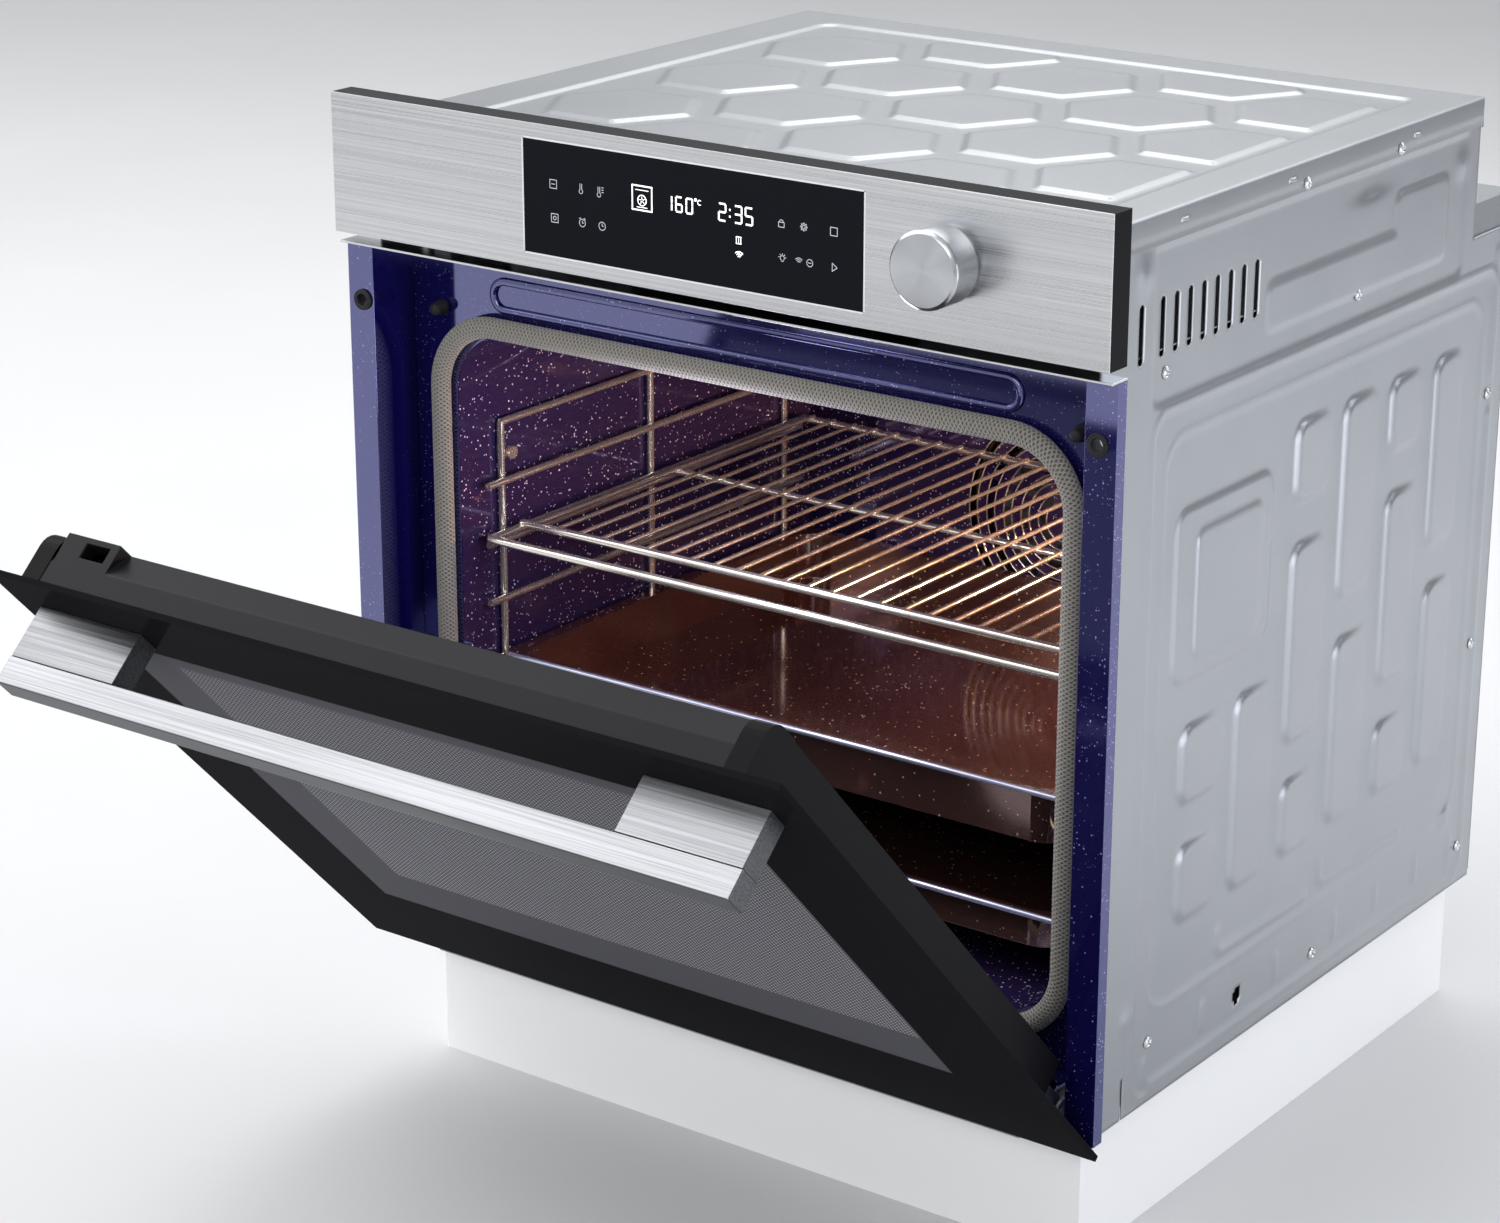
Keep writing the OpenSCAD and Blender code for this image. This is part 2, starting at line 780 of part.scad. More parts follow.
// Pair of cheeks round the arm, joined by a web at the rear
module hinge_receiver() {
    inner = hinge_x - arm_t / 2 - cheek_gap / 2;
    outer = hinge_x + arm_t / 2 + cheek_gap / 2;
    nose = 9;
    color("#7c7f84") difference() {
        union() {
            for (x = [inner - cheek_t, outer]) {
                bar_x(x, x + cheek_t, hinge_y, hinge_z, 2 * nose);
                box([x, hinge_y, hinge_z - nose], [x + cheek_t, 80, hinge_z + nose]);
            }
            box([inner, 44, hinge_z - nose], [outer, 80, hinge_z - nose + 2]);
        }
        bar_x(inner - 4, outer + 4, hinge_y, hinge_z, 2 * hinge_r);
    }
}

module hinge_receiver_right() {
    hinge_receiver();
}

module hinge_receiver_left() {
    mirror([1, 0, 0]) hinge_receiver();
}

module hinge_pins() {
    color("#b5b7ba") for (s = [-1, 1])
        bar_x(s * hinge_x - 6.4, s * hinge_x + 6.4, hinge_y, hinge_z, 2 * hinge_r);
}

module terminal_block() {
    color("#242426") {
        box([152, 524, 62], [213, 548, 108]);
        for (x = [162:10:202]) bar_y(x, 548, 552, 85, 6);
    }
}

module screw_head(r) {
    cylinder(h = 1.6, r1 = r, r2 = r * 0.6);
    translate([0, 0, -5]) cylinder(h = 5.1, r = screw_r - 0.1);
}

module chassis_screws() {
    color("#d6d8da") for (m = [0, 1]) mirror([m, 0, 0]) {
        for (p = side_screws) translate([side_x + 0.05, p.x, p.y])
            rotate([0, 90, 0]) screw_head(4);
        for (y = flange_screws) translate([flange_x + 0.05, y, flange_screw_z])
            rotate([0, 90, 0]) screw_head(4);
    }
}

// ---- door ----

module outer_pane() {
    color("#2a292e") door_turn() difference() {
        box([-front_half, -front_y, door_foot_z], [front_half, pane_back, door_top]);
        for (s = [-1, 1], x = handle_screw_xs)
            bar_y(s * x, -front_y - 1, pane_back + 1, handle_top - handle_t / 2, 7);
    }
}

module middle_pane() {
    color("#3b3d42") door_turn()
        box([-253, -2, door_foot_z + 42], [253, 1, door_top - 32]);
}

module inner_pane() {
    color("#3b3d42") door_turn()
        box([-253, door_inner - 4, door_foot_z + 38.5], [253, door_inner, door_top - 30]);
}

// Right-hand side of the door: a hollow post that holds the hinge arm
module door_side() {
    top = door_top - 30;
    wide = [body_half - post_t, pane_back + 0.1];
    deep = [body_half, door_inner];
    difference() {
        box([wide.x, wide.y, door_foot_z + 48], [deep.x, deep.y, top]);
        box([wide.x + 1.5, wide.y + 2, door_foot_z + 46], [deep.x - 1.5, deep.y - 2, top - 2]);
    }
    box([wide.x, wide.y, door_foot_z + 1.5], [deep.x, wide.y + 5, door_foot_z + 48]);
}

module door_side_right() {
    color("#1c1c1f") door_turn() door_side();
}

module door_side_left() {
    color("#1c1c1f") door_turn() mirror([1, 0, 0]) door_side();
}

// Moulded cap: a flat front half, a sloping rear half and the lock's socket
module door_cap() {
    low = door_top - 29.8;
    high = door_top - 2;
    fold = -1.5;
    rear = high - 12;
    front = pane_back + 0.1;
    color("#3a3a3d") door_turn() difference() {
        union() {
            along_x(-body_half, body_half)
                polygon([[front, low], [front, high], [fold, high], [door_inner, rear],
                         [door_inner, low]]);
            box([-257, fold, rear], [-212, door_inner, high]);
        }
        along_x(-body_half + cap_t, body_half - cap_t)
            polygon([[front + cap_t, low - eps], [front + cap_t, high - cap_t],
                     [fold - 1, high - cap_t], [door_inner - cap_t, rear - cap_t - 0.2],
                     [door_inner - cap_t, low - eps]]);
        box([lock_x - 9.5, lock_y - 5, rear - 8], [lock_x + 9.5, lock_y + 5, high + 1]);
    }
}

module door_foot() {
    color("#1c1c1f") door_turn() difference() {
        box([-252, pane_back + 0.1, door_foot_z + 1.5], [252, door_inner, door_foot_z + 38]);
        box([-250, pane_back + 2, door_foot_z + 3.5], [250, door_inner - 2, door_foot_z + 39]);
    }
}

module hinge_arms() {
    color("#9a9da2") door_turn() for (s = [-1, 1]) difference() {
        union() {
            bar_x(s * hinge_x - arm_t / 2, s * hinge_x + arm_t / 2, hinge_y, hinge_z, 16);
            box([s * hinge_x - arm_t / 2, hinge_y - 7, hinge_z],
                [s * hinge_x + arm_t / 2, hinge_y + 7, hinge_z + 190]);
        }
        bar_x(s * hinge_x - 5, s * hinge_x + 5, hinge_y, hinge_z, 2 * (hinge_r + run_gap));
    }
}

module handle_bar() {
    y0 = -front_y - handle_reach - bar_depth;
    color("#c9cacc") door_turn()
        box([-handle_half, y0, handle_top - handle_t],
            [handle_half, y0 + bar_depth, handle_top]);
}

module handle_brackets() {
    y0 = -front_y - handle_reach;
    color("#b6b8bb") door_turn() for (s = [0, 1]) mirror([s, 0, 0]) difference() {
        box([handle_half - bracket_w, y0 + 0.02, handle_top - handle_t],
            [handle_half - 1, -front_y - 0.02, handle_top]);
        for (x = handle_screw_xs)
            bar_y(x, -front_y - 20, -front_y + 1, handle_top - handle_t / 2, 5);
    }
}

module handle_screws() {
    color("#8d8f93") door_turn() for (s = [-1, 1], x = handle_screw_xs) {
        bar_y(s * x, -front_y - 18, pane_back + 0.1, handle_top - handle_t / 2, 4.9);
        bar_y(s * x, pane_back + 0.1, pane_back + 3, handle_top - handle_t / 2, 11);
    }
}

side_panel_left();
side_panel_right();
top_cover();
base_plate();
rear_upper_panel();
rear_cover();
front_plate();
column_left();
column_right();
cavity_liner();
cavity_back();
insulation();
fan_baffle();
convection_fan();
fan_motor();
ring_heater();
grill_element();
floor_element();
lamp_housing();
lamp_bulb();
lamp_lens();
oven_probe();
rack_left();
rack_right();
rack_studs();
wire_shelf();
upper_tray();
lower_tray();
door_gasket();
door_buffers();
cabinet_bushes();
control_fascia();
fascia_frame();
display_glass();
control_board();
knob();
knob_encoder();
vent_lip();
control_deck();
blower_housing();
blower_rotor();
blower_motor();
lock_body();
lock_bolt();
hinge_receiver_left();
hinge_receiver_right();
hinge_pins();
terminal_block();
chassis_screws();
outer_pane();
middle_pane();
inner_pane();
door_side_left();
door_side_right();
door_cap();
door_foot();
hinge_arms();
handle_bar();
handle_brackets();
handle_screws();
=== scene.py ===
# %% [markdown]
# # A built-in oven, seen half open
# The solid parts come ready made and already sit in their places. This script gives every one of them
# a finish, and remakes the ones whose beauty is in small shapes: pressed sheet, rope, lamp-lit digits.
# All lengths below are written in millimetres and turned to metres when a mesh is made.

# %% Load the solid parts
import math
import bmesh
import bpy
import numpy as np
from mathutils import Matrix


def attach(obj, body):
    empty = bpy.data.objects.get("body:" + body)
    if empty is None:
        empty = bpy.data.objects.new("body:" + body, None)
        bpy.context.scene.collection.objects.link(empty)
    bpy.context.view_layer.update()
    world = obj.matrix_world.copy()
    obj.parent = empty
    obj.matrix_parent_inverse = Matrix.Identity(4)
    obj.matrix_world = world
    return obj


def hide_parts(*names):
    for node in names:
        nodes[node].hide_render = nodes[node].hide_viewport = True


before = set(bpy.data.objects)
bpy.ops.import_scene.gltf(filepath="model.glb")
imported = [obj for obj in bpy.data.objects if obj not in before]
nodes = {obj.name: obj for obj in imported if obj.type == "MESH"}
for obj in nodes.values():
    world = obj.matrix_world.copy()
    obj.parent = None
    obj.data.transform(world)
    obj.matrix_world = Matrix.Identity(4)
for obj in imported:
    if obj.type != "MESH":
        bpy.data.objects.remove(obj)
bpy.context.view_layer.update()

# %% [markdown]
# The camera looks from the right and a little from above. A long lens keeps the oven's edges nearly
# parallel, as in a catalogue picture.

# %% Camera
lens_data = bpy.data.cameras.new("camera")
lens_data.lens = 88.8
lens_data.sensor_width = 36
camera = bpy.data.objects.new("camera", lens_data)
camera.location = (1.3438, -1.7804, 1.0754)
camera.rotation_euler = [math.radians(a) for a in (70.816, 0.008, 36.480)]
bpy.context.collection.objects.link(camera)
bpy.context.scene.camera = camera
bpy.context.scene.view_settings.view_transform = "Standard"
print("lens of", lens_data.lens, "mm")

# %% [markdown]
# A new part here is always a grid of points worked out by numpy: rows and columns of one surface.
# One function makes the faces between neighbouring rows and columns, another turns points and faces
# into an object that rides on its body and takes the finish it is given.

# %% Helpers for grids
MM = 0.001


def grid_faces(rows, cols, wrap_rows=False, wrap_cols=False):
    """Four corners of each cell between row i and i + 1 and column j and j + 1."""
    i, j = np.meshgrid(np.arange(rows if wrap_rows else rows - 1),
                       np.arange(cols if wrap_cols else cols - 1), indexing="ij")
    i, j = i.ravel(), j.ravel()
    i1, j1 = (i + 1) % rows, (j + 1) % cols
    return np.stack([i * cols + j, i1 * cols + j, i1 * cols + j1, i * cols + j1], 1)


def put_uv(mesh, uv):
    """Stores one pair of lengths per point as the mesh's own coordinates in mm."""
    layer = mesh.uv_layers.new(name="mm")
    loops = np.empty(len(mesh.loops), np.int32)
    mesh.loops.foreach_get("vertex_index", loops)
    layer.data.foreach_set("uv", np.asarray(uv, float)[loops].ravel())


def piece(name, points, faces, body, slot, finish, stands_for=(), uv=None, smooth=True):
    """Object from points in mm and faces, with uv given per point."""
    mesh = bpy.data.meshes.new(name)
    rows = faces if isinstance(faces, list) else np.asarray(faces).tolist()
    mesh.from_pydata((np.asarray(points) * MM).tolist(), [], rows)
    if uv is not None:
        put_uv(mesh, uv)
    mesh.polygons.foreach_set("use_smooth", np.full(len(mesh.polygons), smooth))
    mesh.materials.append(finish)
    mesh.update()
    made = bpy.data.objects.new(name, mesh)
    bpy.context.collection.objects.link(made)
    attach(made, body)
    if stands_for:
        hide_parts(*stands_for)
    return made


def joined(parts):
    """Points and faces of several grids as one list of each."""
    points, faces, start = [], [], 0
    for p, f in parts:
        points.append(p)
        faces += (np.asarray(f) + start).tolist()
        start += len(p)
    return np.concatenate(points), faces


def wall(made, thickness):
    """Gives a sheet its thickness, inwards from the drawn face."""
    m = made.modifiers.new("thickness", "SOLIDIFY")
    m.thickness = thickness * MM
    m.offset = -1
    return made


HINGE = (-0.8, 25.8)
OPEN = math.radians(43.2)


def open_door(points):
    """Turns points drawn on the shut door about its hinge line, as the door stands."""
    p = np.array(points, float)
    y, z = p[:, 1] - HINGE[0], p[:, 2] - HINGE[1]
    p[:, 1] = HINGE[0] + y * math.cos(OPEN) - z * math.sin(OPEN)
    p[:, 2] = HINGE[1] + y * math.sin(OPEN) + z * math.cos(OPEN)
    return p


def shut_door(points):
    """The way back: where a point of the open door lies when the door is shut."""
    p = np.array(points, float)
    y, z = p[:, 1] - HINGE[0], p[:, 2] - HINGE[1]
    p[:, 1] = HINGE[0] + y * math.cos(OPEN) + z * math.sin(OPEN)
    p[:, 2] = HINGE[1] - y * math.sin(OPEN) + z * math.cos(OPEN)
    return p

# %% [markdown]
# A finish is a small network of nodes. Colours are written as the hex values that a paint card or a
# screen shows, and one function turns them to the linear values that the shader adds and multiplies.
# One more function adds a node, sets it and links its inputs.

# %% Helpers for finishes


def shade(code):
    """Linear colour from an sRGB hex value."""
    v = np.array([int(code[i:i + 2], 16) for i in (1, 3, 5)]) / 255
    v = np.where(v <= 0.04045, v / 12.92, ((v + 0.055) / 1.055) ** 2.4)
    return (*v.tolist(), 1.0)


def add(tree, kind, settings=None, **inputs):
    """Adds a node; an input is a value or another node's output socket."""
    n = tree.nodes.new("ShaderNode" + kind)
    for key, value in (settings or {}).items():
        setattr(n, key, value)
    for key, value in inputs.items():
        socket = n.inputs[int(key[1:]) if key[0] == "i" and key[1:].isdigit() else
                          key.replace("_", " ")]
        if isinstance(value, bpy.types.NodeSocket):
            tree.links.new(value, socket)
        else:
            socket.default_value = value
    return n


def finish_of(name, **inputs):
    """New material with a Principled shader; returns material, node tree and shader."""
    m = bpy.data.materials.new(name)
    m.use_nodes = True
    tree = m.node_tree
    shader = tree.nodes["Principled BSDF"]
    for key, value in inputs.items():
        shader.inputs[key.replace("_", " ")].default_value = value
    return m, tree, shader


def object_place(tree, scale=(1, 1, 1)):
    """Position on the part in metres, stretched by scale."""
    place = add(tree, "TexCoord")
    return add(tree, "Mapping", Vector=place.outputs["Object"], Scale=scale).outputs["Vector"]


def bump(tree, shader, height, millimetres, strength=1.0):
    """Tilts the shading as if the surface rose by so many millimetres where height is 1."""
    b = add(tree, "Bump", Strength=strength, Distance=millimetres * MM, Height=height)
    tree.links.new(b.outputs["Normal"], shader.inputs["Normal"])


def two_tone(tree, shader, factor, low, high, socket="Base Color"):
    """Mixes two colours by a factor into one of the shader's sockets."""
    mix = add(tree, "MixRGB", Fac=factor, Color1=shade(low), Color2=shade(high))
    tree.links.new(mix.outputs["Color"], shader.inputs[socket])


def level(tree, value, from_low, from_high, to_low, to_high):
    """Carries one range of values to another in a straight line, and stops at both ends."""
    return add(tree, "MapRange", Value=value, From_Min=from_low, From_Max=from_high,
               To_Min=to_low, To_Max=to_high).outputs["Result"]


def calc(tree, operation, a, b=0.0):
    """Result of one step of arithmetic on a and b."""
    return add(tree, "Math", {"operation": operation}, i0=a, i1=b).outputs[0]

# %% [markdown]
# **Hot-dip galvanised sheet.** Zinc freezes on the steel in faint crystals, so the grey is never quite
# even. The real crystals are 2 to 10 mm across; noise at that size moves colour and roughness a little.

# %% Galvanised sheet


def galvanised(name, low, high, rough):
    """Zinc: a wide noise moves the grey, a fine one the roughness and the height."""
    m, tree, shader = finish_of(name, Metallic=0.85, Roughness=rough)
    cloud = add(tree, "TexNoise", Vector=object_place(tree), Scale=14.0, Detail=2.0)
    grain = add(tree, "TexNoise", Vector=object_place(tree), Scale=420.0, Detail=1.0)
    two_tone(tree, shader, cloud.outputs["Fac"], low, high)
    rough_map = level(tree, grain.outputs["Fac"], 0.3, 0.7, rough - 0.02, rough + 0.03)
    tree.links.new(rough_map, shader.inputs["Roughness"])
    bump(tree, shader, grain.outputs["Fac"], 0.01, 0.08)
    return m


galvanised_sheet = galvanised("galvanised_sheet", "#a6aaae", "#b1b4b8", 0.3)
galvanised_roof = galvanised("galvanised_roof_sheet", "#a0a3a6", "#a9acaf", 0.38)
galvanised_inner = galvanised("galvanised_inner_sheet", "#8f9396", "#a2a5a8", 0.45)
print("zinc finishes for outside, roof and inside")

# %% [markdown]
# **Brushed stainless steel.** A belt drags grit along the strip and leaves scratches as long as a
# finger and a tenth of a millimetre wide. Noise that is stretched along X draws them; they are drawn
# three times too wide, or the picture could not show them.

# %% Brushed steel


def brushed(name, base, light, rough, stretch=(1.6, 900, 900), depth=0.03):
    """Steel whose noise is stretched along X, so that its grains become long scratches."""
    m, tree, shader = finish_of(name, Metallic=1.0, Roughness=rough, Anisotropic=0.4)
    lines = add(tree, "TexNoise", Vector=object_place(tree, stretch), Scale=1.0, Detail=4.0,
                Roughness=0.7)
    two_tone(tree, shader, level(tree, lines.outputs["Fac"], 0.36, 0.64, 0.0, 1.0), base, light)
    tree.links.new(level(tree, lines.outputs["Fac"], 0.3, 0.7, rough - 0.07, rough + 0.1),
                   shader.inputs["Roughness"])
    bump(tree, shader, lines.outputs["Fac"], depth, 0.35)
    return m


panel_steel = brushed("brushed_panel_steel", "#c4c5c7", "#e2e3e5", 0.3)
handle_steel = brushed("brushed_handle_steel", "#87888b", "#aeafb2", 0.33, (5, 620, 620), 0.05)
bracket_steel = brushed("brushed_bracket_steel", "#7d7e81", "#a7a8ab", 0.33, (5, 620, 620), 0.05)
# A darker copy of the handle's steel for the door's down-facing faces: painted shade.
shadow_steel = brushed("brushed_steel_painted_shade", "#4c4d50", "#6d6e71", 0.4, (4, 620, 620), 0.05)
trim_steel = brushed("bright_trim_steel", "#c9cacc", "#e2e3e5", 0.2)
print("brushed finishes for panel, handle and trim")

# %% [markdown]
# **Vitreous enamel.** Glass powder is sprayed on steel and fired, so the surface is glass: smooth,
# and mirror-like at a slant. White grains in the powder stay as specks of 0.3 to 1 mm. Cells of a
# Voronoi pattern place one speck each, a random value per cell decides whether it is there, and a
# wide noise gathers them in drifts.

# %% Speckled enamel


def enamel(name, ground, speck, cell, share, rough=0.07, gleam=1.8, tint="#ffffff"):
    """Glass coat with one possible speck in each cell of so many mm, for a share of the cells."""
    m, tree, shader = finish_of(name, Roughness=rough, IOR=gleam, Specular_Tint=shade(tint))
    place = object_place(tree)
    cells = add(tree, "TexVoronoi", Vector=place, Scale=1000 / cell, Randomness=1.0)
    drift = add(tree, "TexNoise", Vector=place, Scale=9.0, Detail=3.0)
    chance = add(tree, "SeparateColor", Color=cells.outputs["Color"])
    limit = level(tree, drift.outputs["Fac"], 0.35, 0.75, share * 0.35, share * 1.8)
    there = calc(tree, "LESS_THAN", chance.outputs["Red"], limit)
    size = level(tree, chance.outputs["Green"], 0.0, 1.0, 0.12, 0.34)
    near = calc(tree, "LESS_THAN", cells.outputs["Distance"], size)
    two_tone(tree, shader, calc(tree, "MULTIPLY", there, near), ground, speck)
    ripple = add(tree, "TexNoise", Vector=place, Scale=60.0, Detail=1.0)
    bump(tree, shader, ripple.outputs["Fac"], 0.05, 0.12)
    return m


navy_enamel = enamel("navy_enamel", "#0f0b46", "#a9abd6", 1.7, 0.22, gleam=3.0, tint="#c4c7ff")
cavity_enamel = enamel("dark_cavity_enamel", "#2b1f45", "#e6deea", 2.2, 0.30, gleam=2.0,
                       tint="#e6dcff")
tray_enamel = enamel("wine_dark_tray_enamel", "#3a2220", "#c9b8b4", 2.2, 0.08, 0.09, gleam=3.0,
                     tint="#ffe0d0")
print("enamels for front, cavity and trays")

# %% [markdown]
# **Moulded plastic.** ABS and glass-filled nylon take the fine spark-eroded grain of their mould,
# about 0.1 mm, which breaks up the reflections.

# %% Plastics and rubber


def moulded(name, base, light, rough, grain_mm=0.25, depth=0.03, gloss=0.3):
    """Plastic with grain of grain_mm that mixes two close colours and raises the surface."""
    m, tree, shader = finish_of(name, Roughness=rough, IOR=1.5, Specular_IOR_Level=gloss)
    grain = add(tree, "TexNoise", Vector=object_place(tree), Scale=1000 / grain_mm / 4, Detail=2.0)
    two_tone(tree, shader, grain.outputs["Fac"], base, light)
    bump(tree, shader, grain.outputs["Fac"], depth, 0.4)
    return m


black_plastic = moulded("black_nylon", "#0c0c0e", "#141416", 0.42, gloss=0.06)
cap_plastic = moulded("satin_black_cap_nylon", "#141416", "#1d1d20", 0.36, gloss=0.12)
frame_plastic = moulded("gloss_black_frame_abs", "#0b0b0d", "#111113", 0.22, gloss=0.06)
rubber = moulded("black_silicone_rubber", "#1c1c20", "#28282c", 0.6, 0.4)
board = moulded("green_circuit_board", "#1d5034", "#2a6a46", 0.5)
wool = moulded("mineral_wool_blanket", "#a89a70", "#cdbf96", 0.95, 3.0, 1.2)
print("moulded finishes ready")

# %% [markdown]
# **Plated and bare metals.** Nickel-chromium plate on wire is a near mirror; heater tubes are steel
# that has turned brown-grey with heat; fan wheels and motors are plain satin metal.

# %% Other metals


def plain_metal(name, base, light, rough, scale=60.0, metal=1.0):
    """Metal whose colour and roughness drift together over a soft noise."""
    m, tree, shader = finish_of(name, Metallic=metal, Roughness=rough)
    cloud = add(tree, "TexNoise", Vector=object_place(tree), Scale=scale, Detail=3.0)
    two_tone(tree, shader, cloud.outputs["Fac"], base, light)
    tree.links.new(level(tree, cloud.outputs["Fac"], 0.3, 0.7, rough * 0.8, rough * 1.25),
                   shader.inputs["Roughness"])
    return m


chrome = plain_metal("chrome_plated_wire", "#dcd3c6", "#faf5ec", 0.15, metal=0.88)
heater_tube = plain_metal("heat_tinted_tube", "#3f3733", "#5d534d", 0.4)
satin_metal = plain_metal("satin_aluminium", "#9a9c9f", "#b5b7ba", 0.35)
dark_metal = plain_metal("dark_painted_steel", "#4a4c50", "#5f6165", 0.5)
zinc = plain_metal("zinc_plated_steel", "#8a8d92", "#b0b2b6", 0.34)
screw_zinc = plain_metal("bright_zinc_screw", "#c8cacc", "#e4e5e7", 0.25)
print("plated and bare metals ready")

# %% [markdown]
# **Glass.** The three panes of the door are clear float glass. The outer one is printed black from
# behind: a solid border, then a grey field of fine dots over the window. The dots are about 1 mm
# apart on the real pane and drawn 3 mm apart so that they show.

# %% Glass


def clear(name, tint, rough, weight):
    """See-through glass of one tint, with a faint ripple as float glass has."""
    m, tree, shader = finish_of(name, Roughness=rough, IOR=1.5, Transmission_Weight=weight,
                                Base_Color=shade(tint))
    smear = add(tree, "TexNoise", Vector=object_place(tree), Scale=7.0, Detail=2.0)
    bump(tree, shader, smear.outputs["Fac"], 0.02, 0.1)
    return m


pane_glass = clear("tinted_float_glass", "#55585c", 0.02, 0.75)
lens_glass = clear("frosted_lens_glass", "#fff3dc", 0.35, 0.8)
display_glass = moulded("gloss_black_display_glass", "#1c1d21", "#1e1f24", 0.05, 1.0, 0.0, 0.0)


def inside_box(tree, across, up, half_w, low, high, middle=0.0, soft=0.6):
    """1 inside a rectangle of the pane, 0 outside, with an edge about half a millimetre soft."""
    side = calc(tree, "ABSOLUTE", calc(tree, "SUBTRACT", across, middle))
    a = level(tree, side, half_w - soft, half_w + soft, 1.0, 0.0)
    b = level(tree, up, low - soft, low + soft, 0.0, 1.0)
    c = level(tree, up, high - soft, high + soft, 1.0, 0.0)
    return calc(tree, "MULTIPLY", calc(tree, "MULTIPLY", a, b), c)


DOT_PITCH = 3.0


def printed_glass():
    """Black border, grey band and dotted window, placed by the pane's own mm coordinates."""
    m, tree, shader = finish_of("printed_black_glass", Roughness=0.14, Metallic=0.04,
                                Specular_IOR_Level=0.0)
    uv = add(tree, "UVMap", {"uv_map": "mm"})
    parts = add(tree, "SeparateXYZ", Vector=uv.outputs["UV"])
    across, up = parts.outputs["X"], parts.outputs["Y"]
    band = inside_box(tree, across, up, 231.0, 90.0, 430.0)
    window = inside_box(tree, across, up, 209.0, 140.0, 417.0, 21.0, 1.5)
    pitch = add(tree, "VectorMath", {"operation": "SCALE"}, Vector=uv.outputs["UV"],
                Scale=1 / DOT_PITCH)
    dots = add(tree, "TexVoronoi", {"voronoi_dimensions": "2D"}, Vector=pitch.outputs[0],
               Scale=1.0, Randomness=0.0)
    dot = level(tree, dots.outputs["Distance"], 0.22, 0.36, 1.0, 0.0)
    fade = level(tree, up, 140.0, 400.0, 1.0, 0.7)
    dot = calc(tree, "MULTIPLY", calc(tree, "MULTIPLY", dot, fade), window)
    ground = add(tree, "MixRGB", Fac=band, Color1=shade("#1a1a1d"), Color2=shade("#5a5a5f"))
    inner = add(tree, "MixRGB", Fac=window, Color1=ground.outputs[0], Color2=shade("#55555a"))
    final = add(tree, "MixRGB", Fac=dot, Color1=inner.outputs[0], Color2=shade("#b2b2b8"))
    tree.links.new(final.outputs[0], shader.inputs["Base Color"])
    return m


door_glass = printed_glass()
print("finishes ready:", len(bpy.data.materials))

# %% [markdown]
# ## The outer sheets
# A pressed panel is one flat sheet pushed in and out by a press tool. Here it is a height drawn over a
# grid: each pressing adds or takes away a millimetre or two inside its outline, and the height rises
# smoothly over the width of the tool's edge. A boolean cut would leave hard steps instead.

# %% Heights of pressings


def rise(d, edge):
    """0 where d is under -edge / 2, 1 where it is over edge / 2, and a smooth curve between."""
    t = np.clip(d / edge + 0.5, 0, 1)
    return t * t * (3 - 2 * t)


def round_box(a, b, a0, a1, b0, b1, r):
    """Distance inwards from a rectangle with corners of radius r; negative outside."""
    da = np.abs(a - (a0 + a1) / 2) - (a1 - a0) / 2 + r
    db = np.abs(b - (b0 + b1) / 2) - (b1 - b0) / 2 + r
    return r - np.hypot(np.maximum(da, 0), np.maximum(db, 0)) - np.minimum(np.maximum(da, db), 0)


def ridge(a, b, path, half_width):
    """1 on a line of straight runs, falling smoothly to 0 at half_width from it."""
    near = np.full(a.shape, 1e9)
    for (a0, b0), (a1, b1) in zip(path[:-1], path[1:]):
        t = np.clip(((a - a0) * (a1 - a0) + (b - b0) * (b1 - b0)) /
                    ((a1 - a0) ** 2 + (b1 - b0) ** 2), 0, 1)
        near = np.minimum(near, np.hypot(a - a0 - t * (a1 - a0), b - b0 - t * (b1 - b0)))
    return rise(half_width - near, 2 * half_width)


def lines_of(low, high, pitch, exact):
    """Grid lines at an even pitch, with the exact ones kept and their close neighbours left out."""
    even = np.arange(low, high + pitch / 2, pitch)
    exact = np.unique(np.round([low, high, *exact], 4))
    keep = even[np.min(np.abs(even[:, None] - exact[None, :]), axis=1) > pitch * 0.45]
    return np.unique(np.concatenate([keep, exact]))

# %% [markdown]
# **Side panel.** Two stepped fields lie one in the other, each with a low bead along its border, and
# a third lies above them. Short panels with one sharp edge stiffen the big flat, and nine slots let
# the cooling air out. The steps stay shallow, so that the sheet lies outside the rear cover's flange.
# Each pressing is a row of numbers, because the press tool is one shape used many times.

# %% Side panel: the height map
SIDE_X = 278.5
SLOTS = [46.0] + [72.5 + 16.17 * k for k in range(8)]
SLOT = (515.0, 37.0, 5.4)
WEDGES = [(247, 289, 360, 413), (248, 290, 194, 330), (249, 292, 113.5, 166),
          (312, 354, 276.5, 412.5), (314, 356, 116, 247), (377, 417, 362, 412),
          (379, 418, 197, 332), (380, 421, 115, 167), (442, 479, 279, 412),
          (445, 481, 116.5, 250), (113, 161, 195, 246), (114, 161, 114, 165),
          (182, 227, 113, 247)]
FIELDS = [((66, 529, 6, 461, 16), 0.6, 0.8), ((82, 512, 62, 442, 24), 0.5, 0.5)]
UPPER_FIELD = (62, 470, 467, 620, 7)
SHELVES = [(200, 445, 484, 515, 8), (369, 445, 484, 541, 8)]
PLATES = [((98, 219, 278, 392, 14), 1.5), ((122, 205, 290, 375, 9), 1.2)]
LONG_RIBS = [[(172, 89), (172, 77), (178, 73), (291, 71.5)],
             [(311, 90), (311, 78), (317, 74), (428, 72)],
             [(82, 29), (82, 17), (88, 11), (505, 13), (511, 20), (511, 38)]]
SHORT_RIBS = [155.3, 253.7, 336.6, 397, 457.5]
REAR_RIBS = [(384, 474), (196, 357)]
DIMPLES = [(47.5, 549.8, 12), (462.8, 544.5, 10), (56, 68.3, 9), (501, 61.1, 10)]


